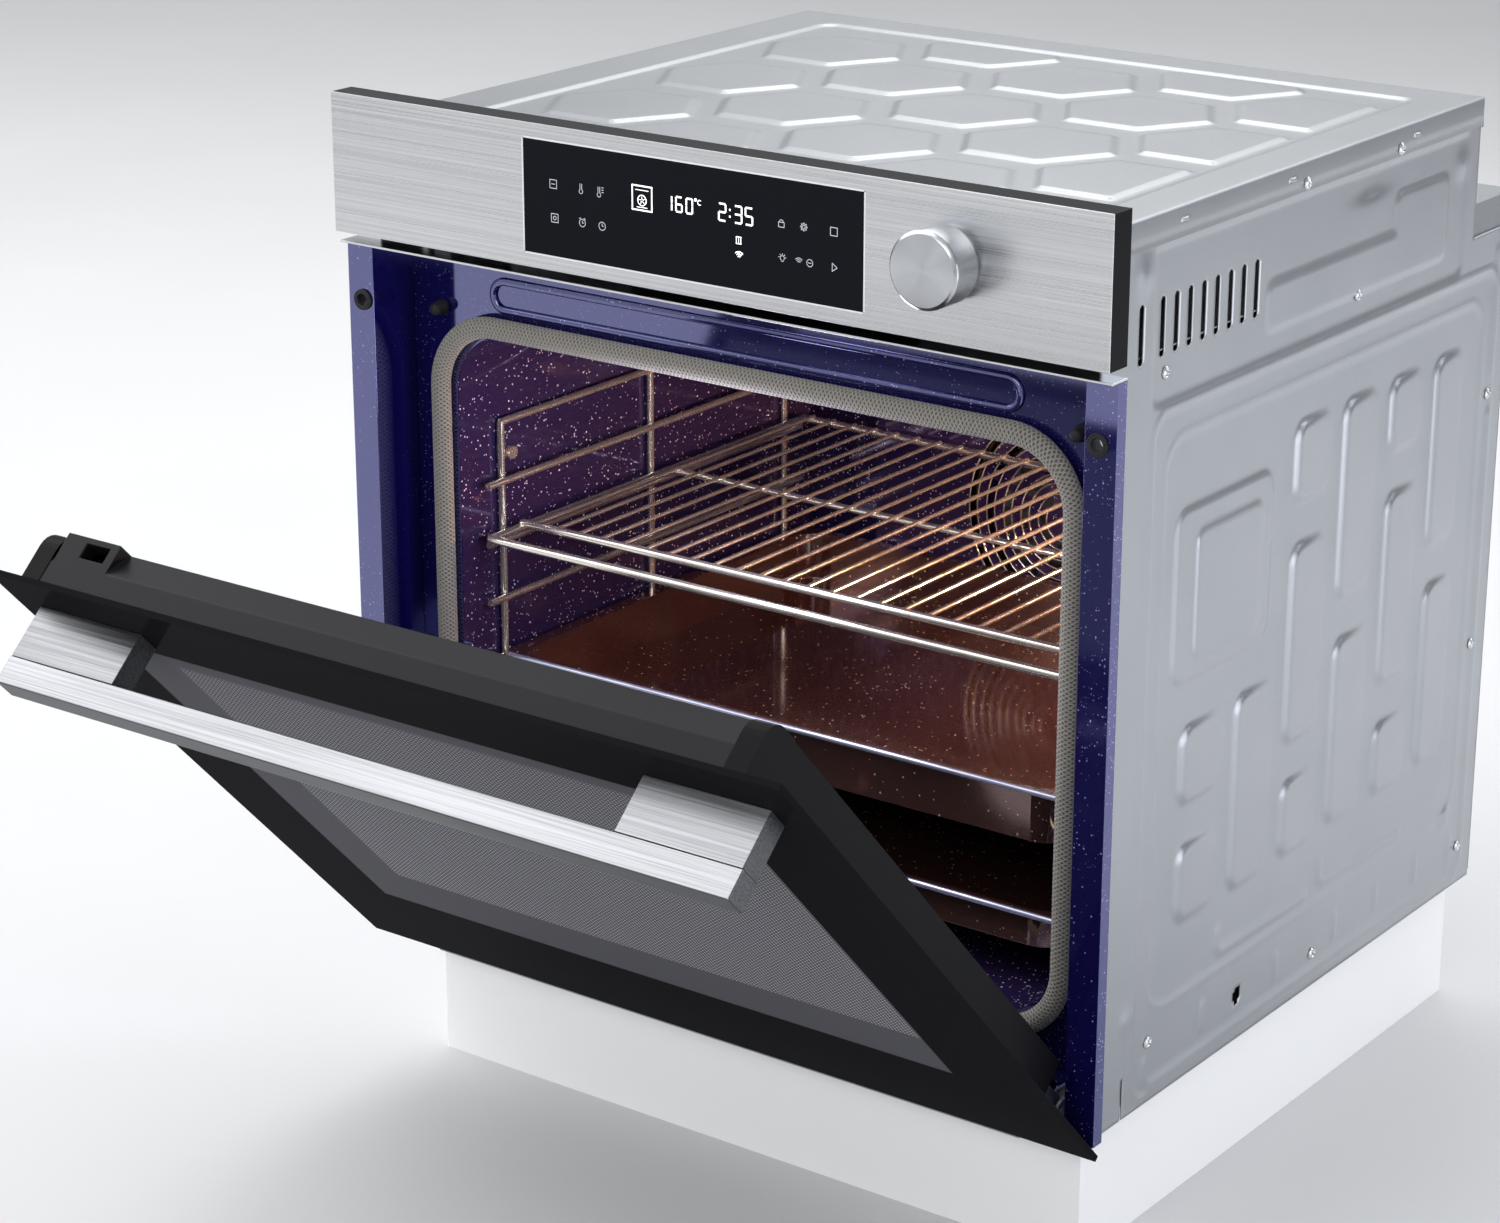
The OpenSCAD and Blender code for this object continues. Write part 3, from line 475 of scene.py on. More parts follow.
def side_height(y, z):
    """Sum of all pressings: each is its own height times a smooth rise at its outline. A wedge also
    falls off toward the rear, a dimple is a bell curve, and all of them fade out at the sheet's
    lower and upper edges."""
    h = np.zeros(np.shape(y))
    for field, step, border in FIELDS:
        inward = round_box(y, z, *field)
        h -= step * rise(inward, 2.4)
        h += border * rise(2.6 - np.abs(inward), 2.6)
    h -= 1.1 * rise(round_box(y, z, *UPPER_FIELD), 3.5)
    h += 1.3 * rise(np.maximum(*[round_box(y, z, *shelf) for shelf in SHELVES]), 3.5)
    for plate, tall in PLATES:
        h += tall * rise(round_box(y, z, *plate), 4)
    for y0, y1, z0, z1 in WEDGES:
        slope = np.clip(1.12 - 0.85 * (y - y0) / (y1 - y0), 0, 1)
        h += 2.8 * slope * rise(round_box(y, z, y0, y1 + 6, z0, z1, 12), 7.0)
    for path in LONG_RIBS:
        h += 1.4 * ridge(y, z, path, 3.0)
    for rib_y in SHORT_RIBS:
        h += 1.2 * ridge(y, z, [(rib_y, 27), (rib_y, 42)], 2.6)
    for low, high in REAR_RIBS:
        h += 0.9 * ridge(y, z, [(527, low), (527, high)], 2.2)
    for a, b, r in DIMPLES:
        h += 2.0 * np.exp(-((y - a) ** 2 + ((z - b) / 1.25) ** 2) / (0.45 * r * r))
    h -= 2.2 * np.exp(-((y - 335) / 22) ** 2 - ((z - 556) / 11) ** 4) * (z < 566)
    return h * rise(z - 2.5, 5) * (1 - rise(z - 563.5, 3))


def in_slot(y, z, y0, z0, tall, wide):
    """True inside an upright slot with round ends."""
    return np.hypot(y - y0, np.maximum(np.abs(z - z0) - (tall - wide) / 2, 0)) < wide / 2

print(len(WEDGES), "wedges and", len(SLOTS), "slots on each side")

# %% [markdown]
# The air slots are real holes. A boolean could cut them, but leaving out the cells of the grid whose
# middle lies in a slot is exact and quick, as long as grid lines run along the slot's edges. The same
# way takes out the step at the rear, the front corner, the fold's slit and one low hole. The left
# sheet is the right one mirrored.

# %% Side panel: the sheets
REAR_STEP = (487, 489.5)
FRONT_CORNER = (15, 14)
SLIT = (53.5, 55.5, 28.5)
LOW_HOLE = (201.7, 31.8, 13, 9)
slot_lines = [y + d for y in SLOTS for d in (-2.7, -2.4, -1.6, 0, 1.6, 2.4, 2.7)]
end_lines = [SLOT[0] + s * (SLOT[1] / 2 - d) for s in (-1, 1) for d in (0, 0.35, 1.1, 2.7)]
side_ys = lines_of(1.5, 545.5, 2.5, [FRONT_CORNER[0], *SLIT[:2], REAR_STEP[0], *slot_lines])
side_zs = lines_of(0, 584.8, 2.5, [FRONT_CORNER[1], SLIT[2], REAR_STEP[1], 566.5,
                                 *end_lines])
gy, gz = np.meshgrid(side_ys, side_zs, indexing="ij")
heights = side_height(gy, gz)
cells = grid_faces(len(side_ys), len(side_zs))
my, mz = gy.ravel()[cells].mean(1), gz.ravel()[cells].mean(1)
gone = (my > REAR_STEP[0]) & (mz > REAR_STEP[1])
gone |= (my < FRONT_CORNER[0]) & (mz < FRONT_CORNER[1])
gone |= (my > SLIT[0]) & (my < SLIT[1]) & (mz < SLIT[2])
for slot_y in SLOTS:
    gone |= in_slot(my, mz, slot_y, *SLOT)
gone |= in_slot(my, mz, *LOW_HOLE)
for side, way in (("right", 1), ("left", -1)):
    points = np.stack([way * (SIDE_X + heights), gy, gz], -1).reshape(-1, 3)
    faces = cells[~gone] if way > 0 else cells[~gone][:, ::-1]
    used, order = np.unique(faces, return_inverse=True)
    made = piece("pressed_side_" + side, points[used], order.reshape(faces.shape), "chassis",
                 "galvanised", galvanised_sheet, ["side_panel_" + side])
    wall(made, 0.9)
print("side sheet:", len(faces), "faces, pressings", heights.min().round(2), "to",
      heights.max().round(2), "mm")

# %% [markdown]
# **Top cover.** A honeycomb of shallow pressings keeps the roof from drumming. A hexagon is the
# region under three pairs of parallel lines, so its distance is the largest of three simple ones. The
# sheet is drawn across the roof and over both long edges as one profile, carried from front to back.

# %% Top cover
HEX_R = 47.0
HEX_COLUMNS = [(-170, 3), (-75, 64), (22, 3), (118, 64), (211, 3)]


def roof_height(x, y):
    """A sunk field, with every hexagon inside it raised again by a little more."""
    field = round_box(x, y, -235, 245, 20, 452, 10)
    h = -1.4 * rise(field, 4)
    cells_in = np.full(x.shape, -1e9)
    for cx, cy in HEX_COLUMNS:
        for k in range(4):
            dx, dy = x - cx, y - (cy + 122 * k)
            three = np.maximum(np.abs(dy), np.abs(dx) * math.sqrt(3) / 2 + np.abs(dy) / 2)
            cells_in = np.maximum(cells_in, HEX_R - three)
    inner = round_box(x, y, -226, 236, 30, 442, 6)
    return h + 1.7 * rise(np.minimum(cells_in, inner), 3.2)


EDGE_X, BEND_R, BEND_Z = 278.2, 1.3, 584.7
FLANGE_X, FLANGE_LOW = EDGE_X + BEND_R, 566.5
roof_xs = lines_of(-EDGE_X, EDGE_X, 2.6, [])
roof_ys = lines_of(1.5, 486.8, 2.6, [])
bend = np.radians([0, 30, 60, 90])
over_x = np.concatenate([[-FLANGE_X, -FLANGE_X], -EDGE_X - BEND_R * np.cos(bend), roof_xs[1:-1],
                         EDGE_X + BEND_R * np.cos(bend[::-1]), [FLANGE_X, FLANGE_X]])
over_z = np.concatenate([[FLANGE_LOW, 575], BEND_Z + BEND_R * np.sin(bend),
                         np.full(len(roof_xs) - 2, BEND_Z + BEND_R),
                         BEND_Z + BEND_R * np.sin(bend[::-1]), [575, FLANGE_LOW]])
tx, ty = np.meshgrid(over_x, np.append(roof_ys, [487.7, 488, 488]), indexing="ij")
tz = np.repeat(over_z[:, None], ty.shape[1], 1)
tz = tz + np.where(np.abs(tx) < 276, roof_height(tx, ty), 0)
tz[:, -2] -= 1.2
tz[:, -1] = np.minimum(tz[:, -1], np.where(np.abs(over_x) < 279, 575, FLANGE_LOW))
roof = piece("pressed_top_cover", np.stack([tx, ty, tz], -1).reshape(-1, 3),
             grid_faces(*tx.shape), "chassis", "galvanised", galvanised_roof, ["top_cover"])
wall(roof, 0.9)
print("top cover:", len(roof.data.polygons), "faces")

# %% [markdown]
# **Screws and hooks.** A pan-head screw is a dome turned about its axis, with a cross sunk in it. One
# grid of angle and radius gives the dome, and the cross is a dip where either direction is narrow.
# The hooks are little tongues pushed out of the roof's side flanges.

# %% Screws and hooks
SIDE_SCREWS = [(78, 485.6), (321.4, 483.4), (525.5, 370.7), (525.5, 185.9), (85.8, 42.5),
               (305.3, 24.2), (525.5, 29.4), (241.4, 571.3), (368.1, 571.3)]
HOOKS = [90.1, 221.5, 389.9]


def screw(y, z, base_x):
    """Dome of radius 4.2 and height 2.3 standing on x = base_x, turned by its own angle."""
    r, a = np.meshgrid([0.05, 0.7, 1.1, 1.6, 2.2, 2.9, 3.5, 4.0, 4.2],
                       np.linspace(0, 2 * math.pi, 24, endpoint=False), indexing="ij")
    turn = a + y
    cross = np.minimum(np.abs(r * np.cos(turn)), np.abs(r * np.sin(turn)))
    h = 2.3 * np.sqrt(np.maximum(1 - (r / 4.25) ** 2, 0)) - 1.3 * (cross < 0.6) * (r < 2.4)
    grid = np.stack([base_x + h, y + r * np.cos(a), z + r * np.sin(a)], -1)
    return grid.reshape(-1, 3), grid_faces(*r.shape, wrap_cols=True)[:, ::-1]


def hook(y, z, base_x):
    """Tongue 11 mm long that leans out of the sheet by up to 1.6 mm at its front end."""
    u, v = np.meshgrid(np.linspace(0, 1, 7), np.linspace(0, 1, 5), indexing="ij")
    out = 1.6 * np.sin(np.pi * u * 0.85) * np.sin(np.pi * (0.15 + 0.7 * v))
    grid = np.stack([base_x + out, y - 5.5 + 11 * u, z - 1.8 + 3.6 * v], -1)
    return grid.reshape(-1, 3), grid_faces(7, 5)


right = [screw(y, z, SIDE_X + (1 if z > FLANGE_LOW else side_height(np.array(y), np.array(z))))
         for y, z in SIDE_SCREWS]
points, faces = joined(right)
left = points * [-1, 1, 1]
both = joined([(points, faces), (left, [f[::-1] for f in faces])])
piece("pan_head_screws", *both, "chassis", "chrome_wire", screw_zinc, ["chassis_screws"])
points, faces = joined([hook(y, 577, SIDE_X + 1.0) for y in HOOKS])
both = joined([(points, faces), (points * [-1, 1, 1], [f[::-1] for f in faces])])
wall(piece("flange_hooks", *both, "chassis", "galvanised", galvanised_sheet), 0.6)
print("screws:", 2 * len(SIDE_SCREWS), "hooks:", 2 * len(HOOKS))

# %% [markdown]
# ## The parts that keep their solid shape
# A solid's mesh is loose triangles. Where an edge has to catch the light, a copy is merged back to
# whole faces and given a small bevel; the sheet metal edge of a real part is never perfectly sharp.

# %% Softened copies


def softened(node, body, finish, width, segments=2, uv_of=None, shadow=None):
    """Copy of a node with its triangles merged to flat faces and its edges rounded by width mm.

    shadow is a second, darker finish for the faces of a door part that don't face up when the door is
    shut: painted shade.
    """
    source = nodes[node]
    mesh = source.data.copy()
    bm = bmesh.new()
    bm.from_mesh(mesh)
    bmesh.ops.remove_doubles(bm, verts=bm.verts, dist=1e-6)
    bmesh.ops.dissolve_limit(bm, angle_limit=math.radians(1.0), verts=bm.verts, edges=bm.edges)
    bm.to_mesh(mesh)
    bm.free()
    mesh.materials.clear()
    mesh.materials.append(finish)
    mesh.name = "soft_" + node
    if shadow:
        mesh.materials.append(shadow)
        facing = np.empty(len(mesh.polygons) * 3)
        mesh.polygons.foreach_get("normal", facing)
        up = facing.reshape(-1, 3) @ [0, -math.sin(OPEN), math.cos(OPEN)]
        mesh.polygons.foreach_set("material_index", (up < 0.5).astype(np.int32))
    if uv_of:
        place = np.empty(len(mesh.vertices) * 3)
        mesh.vertices.foreach_get("co", place)
        put_uv(mesh, uv_of(place.reshape(-1, 3) / MM))
    made = bpy.data.objects.new("soft_" + node, mesh)
    bpy.context.collection.objects.link(made)
    m = made.modifiers.new("edges", "BEVEL")
    m.width = width * MM
    m.segments = segments
    m.limit_method = "ANGLE"
    m.angle_limit = math.radians(30)
    m.harden_normals = True
    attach(made, body)
    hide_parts(node)
    return made


def pane_place(points):
    """Across and up on the door's outer pane, in mm."""
    p = shut_door(points)
    return np.stack([p[:, 0], p[:, 2] - 12.5], 1)


softened("outer_pane", "door", door_glass, 0.8, 3, pane_place)
# Faces that don't face up take the darker steel, as painted shade.
softened("handle_bar", "door", handle_steel, 1.0, 3, shadow=shadow_steel)
softened("handle_brackets", "door", bracket_steel, 0.7, 2, shadow=shadow_steel)
softened("door_cap", "door", cap_plastic, 1.2, 3)
softened("door_foot", "door", black_plastic, 1.0)
softened("control_fascia", "chassis", panel_steel, 0.35, 2)
softened("fascia_frame", "chassis", frame_plastic, 0.8)
softened("display_glass", "chassis", display_glass, 0.4)
softened("vent_lip", "chassis", trim_steel, 0.3)
softened("column_left", "chassis", navy_enamel, 0.45)
softened("column_right", "chassis", navy_enamel, 0.45)
softened("upper_tray", "tray_upper", tray_enamel, 0.5)
softened("lower_tray", "tray_lower", tray_enamel, 0.5)
print("softened copies made")

# %% [markdown]
# ** Rolled rims and end plugs.** A tray's front edge is rolled over, and the roll catches a long bright
# line. It is a circle carried across the tray, and its pale metal finish is a painted highlight over
# the tray's dark enamel. The door's cap is closed at both ends by a dark plug, whose outline is the
# cap's own with its corner rounded.

# %% Tray rims and cap ends
# Pale metal over the tray's dark enamel: the rim's bright line is a painted highlight.
rim_highlight_finish, tree, shader = finish_of("tray_rim_painted_highlight", Metallic=0.7, Roughness=0.22)
glint = add(tree, "TexNoise", Vector=object_place(tree, (40, 400, 400)), Scale=1.0, Detail=3.0)
two_tone(tree, shader, glint.outputs["Fac"], "#8e90ad", "#d4d6e8")
turn = np.linspace(0, 2 * math.pi, 17)
TRAY_FRONT, BEAD_R = 58, 2.1
for name, body, rim in (("upper", "tray_upper", 205.2), ("lower", "tray_lower", 121.2)):
    bx, bt = np.meshgrid([-224, 0, 224], turn, indexing="ij")
    bead = np.stack([bx, TRAY_FRONT + 1.6 + BEAD_R * np.cos(bt), rim - 0.5 + BEAD_R * np.sin(bt)], -1)
    piece(name + "_tray_rim", bead.reshape(-1, 3), grid_faces(3, 17)[:, ::-1], body, "tray_enamel",
          rim_highlight_finish)
corner = np.radians(np.linspace(90, 0, 7))
outline = np.concatenate([[(-17.1, 471), (-17.1, 499)],
                          np.stack([6 + 13.4 * np.cos(corner), 485.6 + 13.4 * np.sin(corner)], 1),
                          [(19.4, 471)]])
for side, way in (("right", 1), ("left", -1)):
    ring = [np.column_stack([np.full(len(outline), way * x), outline]) for x in (258, 272.4)]
    points = open_door(np.concatenate(ring))
    count = len(outline)
    faces = grid_faces(2, count, wrap_cols=True).tolist() + [list(range(count, 2 * count))[::-1]]
    faces = faces if way > 0 else [f[::-1] for f in faces]
    piece("cap_end_" + side, points, faces, "door", "black_plastic", black_plastic, smooth=False)
print("two rims and two end plugs")

# %% [markdown]
# Most parts show their solid shape as it is and need only a finish. One table says which, so that no
# part is left grey by mistake.

# %% Finishes of the parts that stay as they are
PLAIN = {
    galvanised_inner: "base_plate rear_upper_panel rear_cover lamp_housing control_deck "
                      "blower_housing",
    navy_enamel: "front_plate",
    cavity_enamel: "cavity_liner cavity_back fan_baffle",
    wool: "insulation",
    dark_metal: "fan_motor blower_motor",
    heater_tube: "ring_heater grill_element floor_element",
    chrome: "oven_probe rack_left rack_right rack_studs wire_shelf",
    black_plastic: "door_side_left door_side_right knob_encoder lock_body terminal_block",
    zinc: "hinge_receiver_left hinge_receiver_right hinge_pins hinge_arms lock_bolt handle_screws",
    satin_metal: "convection_fan blower_rotor",
    board: "control_board",
    pane_glass: "middle_pane inner_pane",
    lens_glass: "lamp_lens",
}
for finish, names in PLAIN.items():
    for name in names.split():
        mesh = nodes[name].data
        mesh.materials.clear()
        mesh.materials.append(finish)
print(sum(len(v.split()) for v in PLAIN.values()), "parts keep their solid shape")

# %% [markdown]
# ## The rope seal
# A glass-fibre rope runs round the mouth of the oven. Its path is a rectangle with round corners and
# its section an ellipse, so one grid of "how far along" and "how far round" is the whole rope. The
# braid is a pattern on those two lengths: two families of slanting strands, one over the other.

# %% Braided rope finish
rope_yarn, tree, shader = finish_of("braided_glass_rope", Roughness=0.8, IOR=1.5,
                                    Sheen_Weight=0.3)
uv = add(tree, "UVMap", {"uv_map": "mm"})
parts = add(tree, "SeparateXYZ", Vector=uv.outputs["UV"])


def strands(tree, along, around, slant, pitch):
    """Height of one family of strands: a sine across lines that slant round the rope."""
    a = calc(tree, "MULTIPLY", along, 2 * math.pi / pitch)
    b = calc(tree, "MULTIPLY", around, slant)
    return calc(tree, "SINE", calc(tree, "ADD", a, b))


STRAND_PITCH = 3.0
one, two = (strands(tree, parts.outputs["X"], parts.outputs["Y"], slant, STRAND_PITCH)
            for slant in (9.0, -9.0))
weave = calc(tree, "MAXIMUM", one, two)
# The braid is darker where the strands sink: painted shade in the grooves between them.
two_tone(tree, shader, level(tree, weave, -0.6, 1.0, 0.0, 1.0), "#57534c", "#98948a")
bump(tree, shader, weave, 0.5, 0.8)
print("strands every", STRAND_PITCH, "mm")

# %% [markdown]
# The rope's length is made a whole number of strand pitches, or its pattern would jump where the ring
# closes. The same kind of tube, thinner, draws the bead round the front plate's stiffening rib.

# %% Rope


def round_path(half_w, low, high, r, per_corner=14, per_side=40):
    """Points (x, z) once round a rectangle with round corners, and the outward direction at each."""
    cx, z0, z1 = half_w - r, low + r, high - r
    centres = [(cx, z1, 0), (-cx, z1, 90), (-cx, z0, 180), (cx, z0, 270)]
    path, out = [], []
    for k, (x, z, start) in enumerate(centres):
        a = np.radians(start + np.linspace(0, 90, per_corner))
        d = np.stack([np.cos(a), np.sin(a)], 1)
        path.append(np.array([x, z]) + r * d)
        out.append(d)
        nx, nz, nstart = centres[(k + 1) % 4]
        end = np.array([nx, nz]) + r * d[-1]
        t = np.linspace(0, 1, per_side + 1)[1:-1, None]
        path.append(path[-1][-1] * (1 - t) + end * t)
        out.append(np.repeat(d[-1:], per_side - 1, 0))
    return np.concatenate(path), np.concatenate(out)


def tube(path, out, half_across, half_deep, y0, turns):
    """Ellipse carried along the path: angle a lies half_across * cos(a) outwards, and at
    y0 + half_deep * sin(a)."""
    a = np.linspace(0, 2 * math.pi, turns + 1)
    path, out = np.vstack([path, path[:1]]), np.vstack([out, out[:1]])
    across, deep = half_across * np.cos(a), y0 + half_deep * np.sin(a)
    points = np.stack([path[:, :1] + out[:, :1] * across, np.repeat(deep[None], len(path), 0),
                       path[:, 1:] + out[:, 1:] * across], -1)
    length = np.concatenate([[0], np.cumsum(np.hypot(*np.diff(path, axis=0).T))])
    return points.reshape(-1, 3), grid_faces(len(path), turns + 1), a, length


turns = 20
points, faces, a, length = tube(*round_path(249.5, 58.5, 448.5, 46.5), 7.4, 5.6, 25.1, turns)
laps = round(length[-1] / STRAND_PITCH) * STRAND_PITCH / length[-1]
rope_uv = np.stack([np.repeat(length[:, None] * laps, turns + 1, 1),
                    np.repeat(a[None], len(length), 0)], -1)
piece("braided_rope_seal", points, faces, "chassis", "gasket", rope_yarn, ["door_gasket"],
      rope_uv.reshape(-1, 2))
bead = tube(*round_path(206, 460.5, 480, 9.7, 10, 20), 2.6, 1.3, 29.9, 12)
piece("plate_stiffening_bead", *bead[:2], "chassis", "front_enamel", navy_enamel)
print("rope:", round(length[-1]), "mm round the mouth")

# %% [markdown]
# ## Turned parts
# The knob, the door buffers and the ringed bushes are all turned: a profile of radius and depth,
# carried once round an axis. The bright edges of the fan baffle's slots are thin chrome rings made so
# too, painted highlights along the edges of the enamel slots.

# %% Turned parts


def turned(profile, centre, steps=48, closed=False):
    """Profile rows (radius, y) carried round the line through centre (x, z) that runs along Y."""
    p = np.array(profile, float)
    a = np.linspace(0, 2 * math.pi, steps, endpoint=False)
    r, t = np.meshgrid(np.maximum(p[:, 0], 0.02), a, indexing="ij")
    grid = np.stack([centre[0] + r * np.cos(t), np.repeat(p[:, 1:], steps, 1),
                     centre[1] + r * np.sin(t)], -1)
    return grid.reshape(-1, 3), grid_faces(len(p), steps, wrap_rows=closed, wrap_cols=True)


spun, tree, shader = finish_of("spun_aluminium", Metallic=1.0, Roughness=0.26, Anisotropic=0.85,
                               Anisotropic_Rotation=0.25)
ring = add(tree, "TexWave", {"wave_type": "RINGS", "rings_direction": "Y"},
           Vector=add(tree, "Mapping", Location=(-0.188, 0, -0.56),
                      Vector=add(tree, "TexCoord").outputs["Object"]).outputs["Vector"],
           Scale=420.0, Distortion=1.5, Detail=3.0)
two_tone(tree, shader, ring.outputs["Fac"], "#b4b6ba", "#d4d6d9")
tangent = add(tree, "Tangent", {"direction_type": "RADIAL", "axis": "Y"})
tree.links.new(tangent.outputs["Tangent"], shader.inputs["Tangent"])
KNOB = [(0, -51), (10, -51), (21.6, -51), (21.9, -50.95), (23.6, -49.5), (23.9, -49), (24, -48.4),
        (24, -28.6), (23.8, -28), (23.3, -27.6), (21.2, -27.6), (21, -27.2), (21, -21.6), (0, -21.6)]
piece("turned_knob", *turned(KNOB, (188, 560), 96), "knob", "knob_metal", spun, ["knob"])
BUFFER = [(0, 19.6), (2.2, 19.8), (3.8, 20.8), (4.4, 22.4), (4.4, 26.5), (5.4, 27.5), (5.6, 30.7),
          (0, 30.9)]
BUSH = [(4, -1.2), (4, -11.2), (4.5, -11.9), (5.4, -11.9), (5.9, -11.3), (6.3, -11.8),
        (7, -11.7), (7.3, -10.2), (4.8, -10.1), (4.8, -1.2)]
piece("door_stop_buffers", *joined([turned(BUFFER, (s * 250.3, 455)) for s in (-1, 1)]),
      "chassis", "buffer_rubber", rubber, ["door_buffers"])
piece("ringed_bushes", *joined([turned(BUSH, (s * 285, 463), 40, True) for s in (-1, 1)]),
      "chassis", "black_plastic", rubber, ["cabinet_bushes"])
# Chrome rings on the slot edges of the enamel baffle: painted highlights.
SLOT_EDGES = (14.5, 21.5, 29.5, 36.5, 44.5, 51.5, 59.5, 66.5, 74.5, 81.5)
THIN, BAFFLE_Y = 0.6, 420.8
around = np.linspace(0, 2 * math.pi, 8, endpoint=False)
ring_line = np.stack([THIN * np.cos(around), BAFFLE_Y + THIN * np.sin(around)], 1)
highlight_rings = joined([turned(ring_line + [radius, 0], (0, 250), 64, True) for radius in SLOT_EDGES])
piece("baffle_slot_highlight_rings", *highlight_rings, "chassis", "cavity_enamel", chrome)
print("knob, buffers, bushes and slot beads turned")

# %% [markdown]
# ## Display
# Digits and symbols glow behind black glass. Each is a set of straight strokes of one width, so a
# stroke is a thin rectangle between two points, a little longer than the line it follows.

# %% Glowing symbols
GLASS_Y = -21.05


def glow(name, code, strength):
    """Finish that shines by itself in one colour."""
    return finish_of(name, Roughness=0.4, Emission_Strength=strength, Base_Color=shade(code),
                     Emission_Color=shade(code))[0]


def strokes(name, lines, width, finish):
    """Each pair of neighbouring points of a line becomes a rectangle of that width on the glass."""
    ends = np.concatenate([np.stack([np.array(l[:-1]), np.array(l[1:])], 1) for l in lines])
    d = ends[:, 1] - ends[:, 0]
    d = d / np.hypot(d[:, :1], d[:, 1:]) * width / 2
    n = np.stack([-d[:, 1], d[:, 0]], 1)
    a, b = ends[:, 0] - 0.6 * d, ends[:, 1] + 0.6 * d
    corners = np.stack([a - n, b - n, b + n, a + n], 1).reshape(-1, 2)
    points = np.stack([corners[:, 0], np.full(len(corners), GLASS_Y), corners[:, 1]], 1)
    faces = np.arange(len(corners)).reshape(-1, 4)
    made = piece(name, points, faces, "chassis", "display_black", finish, smooth=False)
    return wall(made, 0.04)


def arc(x, z, r, start=0, end=360, n=20):
    """n points on a circle of radius r round (x, z), from one angle in degrees to another."""
    a = np.radians(np.linspace(start, end, n))
    return np.stack([x + r * np.cos(a), z + r * np.sin(a)], 1)


def box_line(x, z, w, h):
    """Closed rectangle that reaches w to each side of (x, z), and h up and down."""
    return np.array([(x - w, z - h), (x + w, z - h), (x + w, z + h), (x - w, z + h), (x - w, z - h)])


SEGMENTS = {"0": "abcdef", "1": "bc", "2": "abged", "3": "abgcd", "5": "afgcd", "6": "afgedc"}


def digit(char, x, z, w, h):
    """Seven-segment figure whose lower left corner is (x, z)."""
    g = 0.55
    ends = {"a": [(g, h), (w - g, h)], "b": [(w, h - g), (w, h / 2 + g)],
            "c": [(w, h / 2 - g), (w, g)], "d": [(g, 0), (w - g, 0)],
            "e": [(0, g), (0, h / 2 - g)], "f": [(0, h / 2 + g), (0, h - g)],
            "g": [(g, h / 2), (w - g, h / 2)]}
    return [np.array(ends[s]) + (x, z) for s in SEGMENTS[char]]


def rays(x, z, near, far, angles, twist=0.0):
    """Lines from radius near to radius far round (x, z); their far ends are turned by twist."""
    return [np.array([(x + near * math.cos(t), z + near * math.sin(t)),
                      (x + far * math.cos(t + twist), z + far * math.sin(t + twist))])
            for t in angles]


def waves(x, z, radii):
    """Three arcs over one point, as on a radio mark."""
    return [arc(x, z, r, 45, 135, n) for r, n in zip(radii, (6, 8, 10))]


def thermometer(x, z, top=569.2):
    """Open bulb of radius 1.4 with two upright lines to the top."""
    return [arc(x, z, 1.4, 120, 420, 12), [(x - 0.7, z + 1.2), (x - 0.7, top)],
            [(x + 0.7, z + 1.2), (x + 0.7, top)]]


def clock(x, z, r, up, across):
    """Circle with two hands, one straight up and one to the right."""
    return [arc(x, z, r), [(x, z), (x, z + up)], [(x, z), (x + across, z)]]


print("figures for:", " ".join(SEGMENTS))

# %% [markdown]
# Each group of strokes has its own width and brightness: the large figures are thick and white, the
# touch symbols thin and grey. The symbols are plain ones of this script's own drawing, with no words.

# %% Figures and symbols on the glass
bright = glow("white_glow", "#ffffff", 1.0)
faint = glow("soft_grey_glow", "#b8bac2", 0.6)
figures = digit("1", -19.5, 562, 2.6, 9.2) + digit("6", -13.6, 562, 4.6, 9.2)
figures += digit("0", -5.6, 562, 4.6, 9.2) + digit("2", 19.2, 561.2, 5.2, 10.4)
figures += digit("3", 31.3, 561.2, 5.2, 10.4) + digit("5", 39.4, 561.2, 5.2, 10.4)
figures += [np.array([(27.6, z - 0.3), (27.6, z + 0.3)]) for z in (564.4, 568.6)]
strokes("display_figures", figures, 1.15, bright)
strokes("display_mode", [box_line(-40, 566.6, 7.6, 7.6)], 0.95, bright)
strokes("display_mode_fan", [arc(-40, 565.2, 3.3), [(-45, 571.6), (-35, 571.6)],
                             [(-44, 560.8), (-36, 560.8)],
                             *rays(-40, 565.2, 0.7, 2.3, np.arange(5) * math.pi / 2.5, 0.5),
                             arc(1.4, 571.2, 0.75, n=10), arc(4.6, 569.8, 1.5, 55, 305, 10)],
        0.5, bright)
